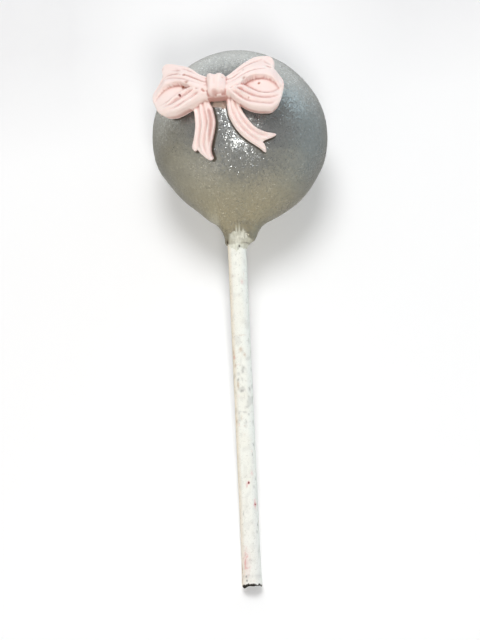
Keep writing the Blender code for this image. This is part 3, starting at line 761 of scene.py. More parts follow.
def coating_material(look):
    """Silver-grey pearl coating: satin metal with fine facets, frosted and soiled at the neck, with painted
    warm light, a painted light patch low on the left of the neck and a painted contact shadow round the bow.
    """
    material, tree, shader, place = new_material("pearl_coating")
    cloud = tree.grain(place, 9.0, 3.0)
    speck = tree.grain(place, 0.35, 1.0)
    facet = tree.add("ShaderNodeTexVoronoi", None, {"Vector": place, "Scale": 1.0 / (0.24 * MM)})
    frost = attribute(tree, "frost")
    soil = attribute(tree, "soil")
    olive = attribute(tree, "olive")
    base = tree.mix((cloud - 0.3).clamped() * 1.2, rgb(look.coating_colour), rgb(look.coating_shade))
    # Painted warm light towards the neck and the left side of the ball
    base = tree.mix(olive, base, rgb(look.coating_warm_light))
    base = tree.mix((speck - 0.5).clamped() * 0.5, base, rgb(PEARL_GLINT))
    # The frosted coating, and a painted light patch low on the left of the neck
    base = tree.mix(frost, base, rgb(FROST_AND_LIGHT_WHITE))
    # Painted contact shadow under and round the bow, in the same dark as the soil marks
    seam = attribute(tree, "seam")
    base = tree.mix((soil + seam * 0.95).clamped(), base, rgb(DARK_SOIL_AND_SHADE))
    tree.put(shader.inputs["Base Color"], base)
    dull = (frost + soil + seam).clamped()
    tree.put(shader.inputs["Metallic"], (1.0 - dull) * look.coating_metal)
    tree.put(shader.inputs["Roughness"], 0.23 + cloud * 0.10 + dull * 0.35)
    spread = tree.vector("SUBTRACT", facet["Color"], (0.5, 0.5, 0.5))
    spread = tree.add("ShaderNodeVectorMath", {"operation": "SCALE"}, {0: spread, "Scale": look.facet_tilt})
    way = tree.vector("ADD", tree.add("ShaderNodeNewGeometry")["Normal"], spread)
    way = tree.vector("NORMALIZE", way)
    peel = tree.grain(place, 1.6, 2.0) * 0.7 + speck * 0.12
    bump = tree.add("ShaderNodeBump", None, {
        "Strength": 0.5, "Distance": 0.12 * MM, "Height": peel, "Normal": way})
    tree.put(shader.inputs["Normal"], bump)
    return material


def flake_material():
    """Bright silver of the lustre flakes, some bluish and some dull."""
    material, tree, shader, place = new_material("lustre_flake")
    tone = tree.grain(place, 0.6, 0.0)
    tree.put(shader.inputs["Base Color"], tree.mix(
        ((tone - 0.4) * 4.0).clamped(), rgb(FLAKE_BLUE), rgb(FLAKE_SILVER)))
    tree.put(shader.inputs["Roughness"], 0.10 + tone * 0.18)
    shader.inputs["Metallic"].default_value = 1.0
    return material


def dab_material(look):
    """Beige-grey sugar glue, a little glossy."""
    material, tree, shader, place = new_material("sugar_glue")
    cloud = tree.grain(place, 0.9, 3.0)
    base = tree.mix(((cloud - 0.35) * 2.5).clamped(), rgb(look.dab_colour), rgb(GLUE_PINK))
    tree.put(shader.inputs["Base Color"], base)
    tree.put(shader.inputs["Roughness"], 0.28 + cloud * 0.3)
    bump = tree.add("ShaderNodeBump", None, {"Strength": 0.5, "Distance": 0.1 * MM, "Height": cloud})
    tree.put(shader.inputs["Normal"], bump)
    return material


def paste_material(look):
    """Pale pink sugar paste with painted shade in its hollows, creases and undersides, and a powdery fine
    grain.
    """
    material, tree, shader, place = new_material("sugar_paste")
    cloud = tree.grain(place, 3.0, 3.0)
    powder = tree.grain(place, 0.28, 3.0, 0.6)
    deep = attribute(tree, "deep")
    base = tree.mix(((cloud - 0.35) * 1.6).clamped(), rgb(look.paste_colour), rgb(look.paste_pale))
    # Painted shade in the bow's hollows, creases and undersides
    base = tree.mix(deep, base, rgb(look.paste_shade))
    # Stains in the pits, and painted shade in one fold of the left loop
    base = tree.mix(attribute(tree, "brown"), base, rgb(BROWN_STAIN_AND_SHADE))
    base = tree.mix(attribute(tree, "dark"), base, rgb(DARK_STAIN_AND_SHADE))
    tree.put(shader.inputs["Base Color"], base)
    tree.put(shader.inputs["Roughness"], 0.48 + powder * 0.2)
    height = powder * 0.5 + tree.grain(place, 1.1, 2.0)
    bump = tree.add("ShaderNodeBump", None, {"Strength": 0.35, "Distance": 0.06 * MM, "Height": height})
    tree.put(shader.inputs["Normal"], bump)
    shader.inputs["Subsurface Weight"].default_value = 0.10
    shader.inputs["Subsurface Radius"].default_value = (1.0, 0.45, 0.35)
    shader.inputs["Subsurface Scale"].default_value = 0.35 * MM
    shader.inputs["Sheen Weight"].default_value = 0.1
    return material


def paper_material(look):
    """Rolled white paper with lengthwise fibres, stains, painted cool light on its right side and painted
    warm shade along its left, and a worn end that is black on its face and inside its hollow.
    """
    material, tree, shader, place = new_material("rolled_paper")
    stretched = tree.add("ShaderNodeMapping", {"vector_type": "POINT"}, {
        "Vector": place, "Rotation": (-tilt(), 0.0, 0.0), "Scale": (1.0, 0.12, 1.0)})
    fibre = tree.grain(stretched, 0.35, 3.0, 0.6)
    cloud = tree.grain(place, 5.0, 3.0)
    fleck = tree.grain(place, 0.45, 2.0)
    base = tree.mix(((cloud - 0.35) * 1.6).clamped(), rgb(look.paper_colour), rgb(look.paper_warm))
    side = tree.add("ShaderNodeSeparateXYZ", None, {0: place})
    across = side["X"] / MM + STICK_SHIFT
    # Painted light: cooler on the right side of the stick; painted warm shade along its left side
    base = tree.mix((across - 0.5).clamped() * 0.5, base, rgb(PAPER_COOL_LIGHT))
    base = tree.mix((-1.1 - across).clamped() * 0.9, base, rgb(PAPER_WARM_SHADE))
    base = tree.mix((side["Y"] * -25.0 - 1.7).clamped() * 0.5, base, rgb(PAPER_FREE_END))
    base = tree.mix(((fibre - 0.55) * 1.4).clamped(), base, rgb(PAPER_FIBRE))
    base = tree.mix(((fleck - 0.58) * 5.0).clamped() * 0.45, base, rgb(PAPER_FLECK))
    dust = tree.grain(place, 0.2, 2.0)
    base = tree.mix(((dust - 0.55) * 5.0).clamped() * 0.35, base, rgb(PAPER_DUST))
    base = tree.mix(attribute(tree, "grey"), base, rgb(GREY_SMUDGE))
    base = tree.mix(attribute(tree, "brown"), base, rgb(BROWN_SMUDGE))
    pink = attribute(tree, "pink")
    base = tree.mix(pink, base, rgb(PINK_SMUDGE))
    base = tree.mix(((pink - 0.72) * 4.0).clamped(), base, rgb(RED_SPECK))
    base = tree.mix(attribute(tree, "soot"), base, rgb(END_BLACK))
    tree.put(shader.inputs["Base Color"], base)
    tree.put(shader.inputs["Roughness"], 0.55 + fibre * 0.3)
    height = fibre * 0.6 + fleck * 0.5
    bump = tree.add("ShaderNodeBump", None, {"Strength": 0.5, "Distance": 0.08 * MM, "Height": height})
    tree.put(shader.inputs["Normal"], bump)
    return material


def floor_material(stage):
    """Pale paper backdrop, a little greyer far behind the cake pop as painted shade, which is left out
    straight behind the ball to lighten the ball's shadow there. The floor also glows faintly, which lifts
    its shadows.
    """
    material, tree, shader, place = new_material("pale_backdrop")
    parted = tree.add("ShaderNodeSeparateXYZ", None, {0: place})
    # Painted shade: greyer far behind, much less so straight behind the ball, where this paints light over
    # the ball's shadow
    far = ((parted["Y"] - 0.012 - parted["X"] * 0.15) * 36.0).clamped()
    far = far * (1.0 - (1.3 - parted["X"] * parted["X"] * 900.0).clamped() * 0.9)
    crease = tree.grain(place, 9.0, 4.0, 0.6)
    tree.put(shader.inputs["Base Color"], tree.mix(
        far * (0.7 + crease * 0.5), rgb(stage.floor_colour), rgb(stage.floor_far_shade)))
    shader.inputs["Roughness"].default_value = 0.9
    shader.inputs["Specular IOR Level"].default_value = 0.1
    shader.inputs["Emission Color"].default_value = (1.0, 1.0, 1.0, 1.0)
    shader.inputs["Emission Strength"].default_value = FLOOR_GLOW
    bump = tree.add("ShaderNodeBump", None, {"Strength": 0.15, "Distance": 0.2 * MM, "Height": crease})
    tree.put(shader.inputs["Normal"], bump)
    return material


def around(angle, column):
    """A value of the coating's edge at each angle, read smoothly from the list round the stick."""
    table = np.array(LIP_EDGE, float)
    degrees = np.concatenate([table[:, 0] - 360.0, table[:, 0], table[:, 0] + 360.0])
    values = np.tile(table[:, column], 3)
    return np.interp(np.degrees(angle) % 360.0, degrees, values)


def neck_control():
    """The ball's outline and the neck as rows of reach, shift and radius, from the far pole on."""
    angles = np.linspace(math.pi - 0.02, math.acos(NECK_START / BALL_RADIUS), 24)
    rows = [(BALL_RADIUS * math.cos(a), 0.0, BALL_RADIUS * math.sin(a)) for a in angles]
    rows += [(reach, shift - STICK_SHIFT, radius) for reach, shift, radius in NECK_ROWS]
    fine = smooth_line(rows, FINE_ROW, False)
    return [row for i, row in enumerate(fine) if row[0] > FINE_FROM or i % COARSE_STEP == 0]


def ball_grid():
    """Rings of points of ball, neck and socket, with the stick level, and how many lie outside."""
    angle = np.linspace(0.0, 2.0 * math.pi, BALL_SEGMENTS, endpoint=False)
    angle = angle + UPPER_SHARE * np.cos(angle)
    cos, sin = np.cos(angle), np.sin(angle)
    rings = []
    for reach, shift, radius in neck_control():
        top = bell(np.abs(angle - math.pi / 2.0), 0.75)
        inner = radius - SADDLE_DEPTH * top * ease((reach - 19.6) / 2.6)
        rings.append(np.column_stack([shift + inner * cos, np.full(BALL_SEGMENTS, -reach), inner * sin]))
    last = rings[-1]
    reach, radius = around(angle, 1), around(angle, 2)
    reach = reach + 0.10 * np.sin(9.0 * angle) + 0.06 * np.sin(23.0 * angle + 1.0)
    edge = np.column_stack([radius * cos - STICK_SHIFT, -reach, radius * sin])
    for k in range(1, LIP_ROWS + 1):
        t = k / LIP_ROWS
        flat = 1.0 - (1.0 - t)**1.6
        ring = last + (edge - last) * t
        ring[:, [0, 2]] = last[:, [0, 2]] + (edge - last)[:, [0, 2]] * flat
        rings.append(ring)
    bore = STICK_RADIUS + CLEARANCE
    outer = len(rings)
    rings.append(np.column_stack([bore * cos - STICK_SHIFT, -reach + 0.05, bore * sin]))
    for depth in (STICK_INNER_END + 8.0, STICK_INNER_END - SOCKET_GAP):
        wide = STICK_RADIUS + SOCKET_GAP
        rings.append(np.column_stack([wide * cos - STICK_SHIFT, np.full(BALL_SEGMENTS, -depth), wide * sin]))
    return np.array(rings), outer


def ring_faces(rows, count):
    """Faces between rings of equally many points."""
    faces = []
    for k in range(rows - 1):
        for i in range(count):
            j = (i + 1) % count
            faces.append([k * count + i, k * count + j, (k + 1) * count + j, (k + 1) * count + i])
    return faces


def shaped_coating(points):
    """Adds the dent and a slight unevenness to the ball's outer points; all with the stick level."""
    way = np.array(Vector(DENT_WAY).normalized())
    out = points * (1.0, -1.0, 1.0)
    out = out / np.linalg.norm(out, axis=1)[:, None]
    depth = DENT_DEPTH * np.exp(-((1.0 - out @ way) / (DENT_SPREAD**2 / 2.0)))
    reach = -points[:, 1]
    round_part = 1.0 - ease((reach - 2.0) / 6.0)
    moved = points * (1.0 - round_part * depth / BALL_RADIUS)[:, None]
    uneven = 0.05 * wavy(points, 7.0, 1) + 0.02 * wavy(points, 2.5, 2)
    near = ease((reach - 19.0) / 2.5)
    axis = np.column_stack([np.full(len(points), -STICK_SHIFT), points[:, 1], np.zeros(len(points))])
    side = points - axis
    side = side / np.maximum(np.linalg.norm(side, axis=1), 1e-6)[:, None]
    ridges = 0.09 * near * wavy(points * (1.0, 0.25, 1.0), 0.45, 3) + 0.06 * near * wavy(points, 0.8, 4)
    return moved + out * (1.0, -1.0, 1.0) * (uneven * (1.0 - near))[:, None] + side * ridges[:, None]


def neck_values(points):
    """Frost with a painted light patch, soil, and the painted warm olive tint of the coating at each point,
    with the stick level.
    """
    reach = -points[:, 1]
    across = points[:, 0] + STICK_SHIFT
    upper = ease(points[:, 2] / 1.2)
    ragged = 0.35 * wavy(points * (1.0, 0.1, 1.0), 0.5, 5)
    start = 21.0 + ragged + 0.25 * np.abs(across - 0.4) + 0.8 * ease((across - 1.6) / 1.0)
    patch = ease((reach - start) / 0.35) * upper * ease((across + 1.9) / 0.6)
    patch *= 1.0 - 0.75 * ease((across - 1.9 - 0.75 * (reach - 21.4)) / 0.4)
    skirt = ease((reach - 23.4) / 0.6)
    streaks = marked(reach, across, FROST_STREAKS) * upper
    frost = np.maximum(np.maximum(patch * 0.62, streaks), skirt * (1.0 - 0.25 * ease((across - 0.9) / 0.8)))
    # Painted light: a pale warm patch low on the left of the neck, kept with the frost
    frost = np.maximum(frost, 0.45 * bell(reach - 19.4, 1.7) * ease((-across - 3.0) / 1.6))
    frost *= 0.86 + 0.22 * wavy(points * (1.0, 0.35, 1.0), 0.4, 6)
    soil = marked(reach, across, NECK_SOIL) * upper
    smudge = marked(reach, across, NECK_SMUDGES) * upper
    soil = np.minimum(soil + smudge * 0.6, 1.0)
    # Painted warm light: the coating turns warmer towards the neck, and a little towards the left side
    olive = 0.85 * ease((reach - 8.0) / 11.0) + 0.25 * ease((-points[:, 0] - 6.0) / 12.0)
    return np.clip(frost, 0.0, 1.0), np.clip(soil, 0.0, 1.0), np.clip(olive, 0.0, 1.0)


def contact_shade_values(points):
    """Painted contact shadow of the coating under the bow and close round it; points lie around the ball's
    centre.
    """
    flat = unwrapped(points, BALL_RADIUS, 0.0)
    facing = points @ bow_axes()[0] > 0.0
    total = np.zeros(len(points))
    for outline, margin, width in CONTACT_SHADES:
        ring = smooth_line(outline, OUTLINE_STEP, True)
        away, _, _ = to_line(flat, ring, True)
        away = np.where(inside(flat, ring), -away, away)
        total = np.maximum(total, ease((margin + width - away) / width))
    return total * facing


def cut_level(target):
    """Cuts a level resting spot where the ball reaches below the ground."""
    mesh = bmesh.new()
    mesh.from_mesh(target.data)
    everything = mesh.verts[:] + mesh.edges[:] + mesh.faces[:]
    cut = bmesh.ops.bisect_plane(
        mesh, geom=everything, dist=1e-7, clear_inner=True,
        plane_co=(0.0, 0.0, 0.0), plane_no=(0.0, 0.0, 1.0))
    edges = [part for part in cut["geom_cut"] if isinstance(part, bmesh.types.BMEdge)]
    bmesh.ops.contextual_create(mesh, geom=edges)
    bmesh.ops.recalc_face_normals(mesh, faces=mesh.faces)
    mesh.to_mesh(target.data)
    mesh.free()


def make_ball(look):
    """The coated ball with its neck and the socket for the stick."""
    grid, outer = ball_grid()
    rows, count = grid.shape[:2]
    shown = grid[:outer].reshape(-1, 3)
    shaped = shaped_coating(shown)
    ends = np.array([(0.0, BALL_RADIUS, 0.0), (-STICK_SHIFT, -(STICK_INNER_END - SOCKET_GAP), 0.0)])
    points = np.concatenate([shaped, grid[outer:].reshape(-1, 3), ends])
    faces = ring_faces(rows, count)
    for i in range(count):
        j = (i + 1) % count
        faces.append([j, i, rows * count])
        faces.append([(rows - 1) * count + i, (rows - 1) * count + j, rows * count + 1])
    ball = to_object("coated_ball", laid(points), faces)
    cut_level(ball)
    places, _ = read_points(ball)
    turn = np.array(Matrix.Rotation(-tilt(), 3, "X"))
    level = (places / MM - (0.0, 0.0, BALL_HEIGHT)) @ turn.T
    for name, values in zip(("frost", "soil", "olive"), neck_values(level)):
        keep_values(ball, name, values)
    keep_values(ball, "seam", contact_shade_values(places / MM - (0.0, 0.0, BALL_HEIGHT)))
    ball.data.materials.append(coating_material(look))
    return ball


def group_inputs(tree, kinds):
    """Adds named inputs to a geometry node tree and returns each one's identifier."""
    return {name: tree.nodes.interface.new_socket(name, in_out="INPUT", socket_type=kind).identifier
            for name, kind in kinds.items()}


def run_tree(target, nodes, names, values):
    """Runs a geometry node tree on an object with values for its inputs, and keeps the plain mesh."""
    step = target.modifiers.new(nodes.name, "NODES")
    step.node_group = nodes
    for name, value in values.items():
        step[names[name]] = value
    apply_modifiers(target)


def flake_tree():
    """Scatters small tilted flakes over a surface, but none on the painted contact shadow round the bow."""
    nodes = bpy.data.node_groups.new("lustre_scatter", "GeometryNodeTree")
    tree = Tree(nodes)
    names = group_inputs(tree, {
        "Surface": "NodeSocketGeometry", "Density": "NodeSocketFloat", "Size": "NodeSocketFloat",
        "Tilt": "NodeSocketFloat", "Seed": "NodeSocketInt", "Material": "NodeSocketMaterial"})
    nodes.interface.new_socket("Flakes", in_out="OUTPUT", socket_type="NodeSocketGeometry")
    given = tree.add("NodeGroupInput")
    seam = tree.add("GeometryNodeInputNamedAttribute", {"data_type": "FLOAT"}, {"Name": "seam"})["Attribute"]
    points = tree.add("GeometryNodeDistributePointsOnFaces", None, {
        "Mesh": given["Surface"], "Density": given["Density"] * (1.0 - seam), "Seed": given["Seed"]})
    size = given["Size"]
    flake = tree.add("GeometryNodeMeshCone", None, {
        "Vertices": 3, "Radius Top": 0.0, "Radius Bottom": size, "Depth": size * 0.05})
    lean = tree.add("FunctionNodeRandomValue", {"data_type": "FLOAT_VECTOR"}, {
        "Min": (-1.0, -1.0, 0.0), "Max": (1.0, 1.0, 6.28), "Seed": given["Seed"]})
    bent = tree.vector("MULTIPLY", lean, tree.vector("ABSOLUTE", lean))
    lean = tree.vector("MULTIPLY", bent, tree.add("ShaderNodeCombineXYZ", None, {
        0: given["Tilt"], 1: given["Tilt"], 2: 1.0}))
    lean = tree.add("FunctionNodeEulerToRotation", None, {0: lean})
    turned = tree.add("FunctionNodeRotateRotation", {"rotation_space": "LOCAL"}, {
        "Rotation": points["Rotation"], "Rotate By": lean})
    scale = tree.add("FunctionNodeRandomValue", {"data_type": "FLOAT"}, {2: 0.5, 3: 1.35, "Seed": 9})[1]
    placed = tree.add("GeometryNodeInstanceOnPoints", None, {
        "Points": points, "Instance": flake, "Rotation": turned, "Scale": scale})
    real = tree.add("GeometryNodeRealizeInstances", None, {0: placed})
    done = tree.add("GeometryNodeSetMaterial", None, {"Geometry": real, "Material": given["Material"]})
    tree.add("NodeGroupOutput", None, {0: done})
    return nodes, names


def make_flakes(look):
    """The lustre flakes on the coating, as one mesh."""
    ball = bpy.data.objects["coated_ball"]
    flakes = bpy.data.objects.new("lustre_flakes", ball.data.copy())
    bpy.context.scene.collection.objects.link(flakes)
    mesh = bmesh.new()
    mesh.from_mesh(flakes.data)
    centre = Vector((0.0, 0.0, BALL_HEIGHT * MM))
    hidden = []
    for face in mesh.faces:
        middle = face.calc_center_median()
        inner = (middle - centre).length < FLAKE_SHELL * BALL_RADIUS * MM and middle.y > -FLAKE_NECK * MM
        if inner or middle.y < -FLAKE_END * MM or middle.z < FLAKE_LOWEST * MM:
            hidden.append(face)
    bmesh.ops.delete(mesh, geom=hidden, context="FACES")
    mesh.to_mesh(flakes.data)
    mesh.free()
    run_tree(flakes, *flake_tree(), {
        "Density": look.flake_density * 1e6, "Size": look.flake_size, "Tilt": look.flake_tilt,
        "Seed": look.flake_seed, "Material": flake_material()})
    return flakes


def round_stick(marks):
    """Marks as seen from above, with their place across measured round the stick's surface instead."""
    return [(reach, STICK_RADIUS * math.asin(max(-1.0, min(1.0, across / STICK_RADIUS))), *shape)
            for reach, across, *shape in marks]


def make_stick(look):
    """The paper stick with its worn, hollow free end, black on its face and inside the hollow."""
    stick = bpy.data.objects.new("paper_stick", bpy.data.meshes.new("paper_stick"))
    bpy.context.scene.collection.objects.link(stick)
    run_tree(stick, *stick_tree(), {
        "Radius": STICK_RADIUS, "Inner end": STICK_INNER_END, "Outer end": STICK_OUTER_END,
        "Flare": STICK_FLARE, "Flare length": STICK_FLARE_LENGTH, "Material": paper_material(look)})
    level, _ = read_points(stick)
    reach = -level[:, 1]
    turn = np.arctan2(level[:, 2], level[:, 0])
    wide = np.hypot(level[:, 0], level[:, 2])
    free = ease((reach - WORN_FROM) / 3.0)
    under = 0.3 + 0.7 * ease(0.5 - np.sin(turn))
    level[:, 1] -= free * (wide > 1.5) * end_wear(turn) * under
    worn = 0.02 * wavy(level, 3.0, 7) + 0.012 * wavy(level * (1.0, 0.2, 1.0), 0.5, 8)
    worn += free * 0.05 * wavy(level, 0.5, 9)
    level[:, [0, 2]] *= (1.0 + worn / STICK_RADIUS)[:, None]
    across = STICK_RADIUS * (math.pi / 2.0 - turn)
    across = (across + math.pi * STICK_RADIUS) % (2.0 * math.pi * STICK_RADIUS) - math.pi * STICK_RADIUS
    grey, brown, pink = (round_stick(marks) for marks in (GREY_MARKS, BROWN_MARKS, PINK_MARKS))
    draw = np.random.default_rng(SCATTER_SEED)
    for _ in range(SCATTER_COUNT):
        place = (draw.uniform(*SCATTER_REACH), draw.uniform(-SCATTER_SIDE, SCATTER_SIDE))
        shape = (draw.uniform(0.1, 0.5), draw.uniform(0.1, 0.3), draw.uniform(0.1, 0.4))
        (grey, brown, brown, pink)[draw.integers(4)].append((*place, *shape))
    bent = reach + 0.22 * wavy(level, 0.4, 14), across + 0.18 * wavy(level, 0.35, 15)
    scuffs = ease((wavy(level * (1.0, 0.7, 1.0), 1.1, 16) - 0.05) / 0.35)
    scuffs *= 0.10 + 0.22 * bell(reach - SCUFFS_AT, 9.0)
    full = STICK_RADIUS + STICK_FLARE * ease((reach - 87.0) / 9.0)
    # Black inside the hollow of the free end and on the end face
    soot = ease((0.985 - wide / full) / 0.03) * ease((reach - 94.0) / 0.3)
    soot = np.maximum(soot, ease((reach - END_BLACK_FROM + 0.35 * wavy(level, 0.45, 10)) / 0.12))
    strokes = 0.50 + 2.2 * ease((0.22 - np.abs(wavy(level * (1.0, 0.6, 1.0), 0.7, 17))) / 0.2) * 0.5
    keep_values(stick, "grey", marked(*bent, grey) * 0.8 + scuffs * 0.75)
    keep_values(stick, "brown", marked(*bent, brown))
    keep_values(stick, "pink", marked(*bent, pink) * np.where(reach > STROKES_FROM, strokes, 1.0))
    keep_values(stick, "soot", soot)
    level[:, 0] -= STICK_SHIFT
    write_points(stick, laid(level))
    stick.data.shade_smooth()
    return stick


def stick_tree():
    """A tube along -Y whose free end flares and turns in to a short hollow; all sizes in mm."""
    nodes = bpy.data.node_groups.new("paper_tube", "GeometryNodeTree")
    tree = Tree(nodes)
    kinds = dict.fromkeys(("Radius", "Inner end", "Outer end", "Flare", "Flare length"), "NodeSocketFloat")
    names = group_inputs(tree, {**kinds, "Material": "NodeSocketMaterial"})
    nodes.interface.new_socket("Tube", in_out="OUTPUT", socket_type="NodeSocketGeometry")
    given = tree.add("NodeGroupInput")
    radius, start, end = given["Radius"], given["Inner end"], given["Outer end"]
    grid = tree.add("GeometryNodeMeshGrid", None, {
        "Size X": 1.0, "Size Y": 1.0, "Vertices X": 620, "Vertices Y": 121})
    spot = tree.add("ShaderNodeSeparateXYZ", None, {0: tree.add("GeometryNodeInputPosition")})
    share = spot["X"] + 0.5
    turn = (spot["Y"] + 0.5) * (2.0 * math.pi)
    # Share of the whole length reached, and of the full radius, along the rows of the tube
    along = tree.add("ShaderNodeFloatCurve", {"points": [
        (0.0, 0.0), (0.01, 0.0), (0.93, 0.9955), (0.94, 0.998), (0.95, 0.9975), (0.985, 0.988),
        (1.0, 0.988)]}, {"Value": share})
    wide = tree.add("ShaderNodeFloatCurve", {"points": [
        (0.0, 0.0), (0.01, 1.0), (0.93, 1.0), (0.94, 0.93), (0.95, 0.85), (0.985, 0.68), (1.0, 0.0)]},
        {"Value": share})
    reach = start + along * (end - start)
    flare = ((reach - end + given["Flare length"]) / given["Flare length"]).clamped()
    full = (radius + given["Flare"] * flare * flare) * wide
    place = tree.add("ShaderNodeCombineXYZ", None, {
        0: full * tree.number("COSINE", turn), 1: reach * -1.0, 2: full * tree.number("SINE", turn)})
    tube = tree.add("GeometryNodeSetPosition", None, {"Geometry": grid, "Position": place})
    tube = tree.add("GeometryNodeMergeByDistance", None, {"Geometry": tube, "Distance": 1e-4})
    # The rolled-up grid faces inwards, so its faces are turned round
    tube = tree.add("GeometryNodeFlipFaces", None, {"Mesh": tube})
    real = tree.add("GeometryNodeRealizeInstances", None, {0: tube})
    done = tree.add("GeometryNodeSetMaterial", None, {"Geometry": real, "Material": given["Material"]})
    tree.add("NodeGroupOutput", None, {0: done})
    return nodes, names


def make_bow(look):
    """The moulded bow: two loops and a knot in one relief, and two tails that follow the ball."""
    bow = slab("moulded_bow", BOW_OUTLINE, bow_heights, LOOP_CURVE, BOW_LIFT, BOW_SPACING)
    curve = BALL_RADIUS + TAIL_LIFT
    tails = []
    parts = (("left_tail", LEFT_TAIL, LEFT_TAIL_RIBS), ("right_tail", RIGHT_TAIL, RIGHT_TAIL_RIBS))
    for name, outline, ribs in parts:
        heights = functools.partial(tail_heights, outline=outline, ribs=ribs)
        tails.append(slab(name, outline, heights, curve, TAIL_LIFT, BOW_SPACING))
    united(bow, tails)
    remeshed(bow, BOW_VOXEL)
    places, _ = read_points(bow)
    write_points(bow, averaged(bow, places, 2))
    places, normals = read_points(bow)
    centred = places / MM - (0.0, 0.0, BALL_HEIGHT)
    flat = unwrapped(centred, LOOP_CURVE, BOW_LIFT)
    facing = ease(normals @ bow_axes()[0] * 2.0)
    depth, dark, brown = np.zeros((3, len(flat)))
    for right, up, sunk, width, dark_tint, brown_tint in PITS:
        spot = bell(np.hypot(flat[:, 0] - right, flat[:, 1] - up), width) * facing
        depth += sunk * spot
        dark += dark_tint * spot
        brown += brown_tint * spot
    keep_values(bow, "dark", np.minimum(dark, 1.0))
    keep_values(bow, "brown", np.minimum(brown, 1.0))
    depth -= 0.025 * wavy(centred, 1.4, 12) + 0.012 * wavy(centred, 0.5, 13)
    write_points(bow, places - normals * depth[:, None] * MM)
    # Painted shade of the paste: darker in fine creases and wide hollows, near the ball, on the loops' lower
    # walls, on the left tail's right part and on the knot's lower part
    near, wide = hollows(bow, FINE_ROUNDS), hollows(bow, WIDE_ROUNDS)
    right, up = flat[:, 0], flat[:, 1]
    low = ease((BALL_RADIUS + TAIL_LIFT + 0.7 - np.linalg.norm(centred, axis=1)) / 0.5)
    base = centred - bow_axes()[0] * (BALL_RADIUS + BOW_LIFT - LOOP_CURVE)
    over = np.linalg.norm(base, axis=1) - LOOP_CURVE
    tailed = unwrapped(centred, BALL_RADIUS + TAIL_LIFT, TAIL_LIFT)
    on_tail = inside(tailed, smooth_line(LEFT_TAIL, LINE_STEP, True))
    on_tail |= inside(tailed, smooth_line(RIGHT_TAIL, LINE_STEP, True))
    low = np.maximum(low, ease((2.4 - over) / 1.8) * ease((over + 0.5) / 0.3) * ~on_tail)
    shaded = 0.80 * ease((right + 3.2) / 0.9) * ease((1.5 - right) / 0.5) * ease((-up - 3.5) / 1.0)
    shaded += 0.80 * ease((-up - 1.0) / 1.0) * ease((2.2 - np.abs(right)) / 0.4) * ease((up + 3.6) / 0.3)
    creased = np.where(on_tail, near * 5.5 + wide * 2.2, near * 7.5 + wide * 3.2)
    keep_values(bow, "deep", np.clip(creased + shaded + low - 0.05, 0.0, 1.0))
    bow.data.materials.clear()
    bow.data.materials.append(paste_material(look))
    bow.data.shade_smooth()
    return bow


def make_dab(look):
    """The low dab of sugar glue under the knot, sunk a little into the ball."""
    dab = slab("sugar_dab", DAB_OUTLINE, dab_heights, BALL_RADIUS - DAB_SUNK, -DAB_SUNK, 0.1)
    dab.data.materials.append(dab_material(look))
    return dab


def camera_axes():
    """The camera's directions: right, up and back towards the camera."""
    height = math.radians(CAMERA_ELEVATION)
    roll = math.radians(CAMERA_ROLL)
    right = Vector((1.0, 0.0, 0.0))
    up = Vector((0.0, math.sin(height), math.cos(height)))
    back = Vector((0.0, -math.cos(height), math.sin(height)))
    return right * math.cos(roll) - up * math.sin(roll), right * math.sin(roll) + up * math.cos(roll), back


def make_camera():
    """The camera that looks down on the cake pop from the stick's side."""
    right, up, back = camera_axes()
    ball = Vector((0.0, 0.0, BALL_HEIGHT))
    aim = ball - up * (IMAGE_HEIGHT / 2.0 - BALL_ROW) * IMAGE_SCALE
    data = bpy.data.cameras.new("camera")
    data.sensor_width = SENSOR
    data.lens = SENSOR * CAMERA_DISTANCE / (IMAGE_HEIGHT * IMAGE_SCALE)
    data.clip_start = 0.01
    camera = bpy.data.objects.new("camera", data)
    turn = Matrix((right, up, back)).transposed().to_4x4()
    camera.matrix_world = Matrix.Translation((aim + back * CAMERA_DISTANCE) * MM) @ turn
    bpy.context.scene.collection.objects.link(camera)
    bpy.context.scene.camera = camera


def add_light(name, way, distance, size, power, colour):
    """An area light that looks at the ball from a direction; distance and size in metres."""
    data = bpy.data.lights.new(name, "AREA")
    data.shape = "DISK"
    data.size = size
    data.energy = power
    data.color = colour
    light = bpy.data.objects.new(name, data)
    way = Vector(way).normalized()
    centre = Vector(LIGHT_AIM)
    turn = way.to_track_quat("Z", "Y").to_matrix().to_4x4()
    light.matrix_world = Matrix.Translation(centre + way * distance) @ turn
    bpy.context.scene.collection.objects.link(light)


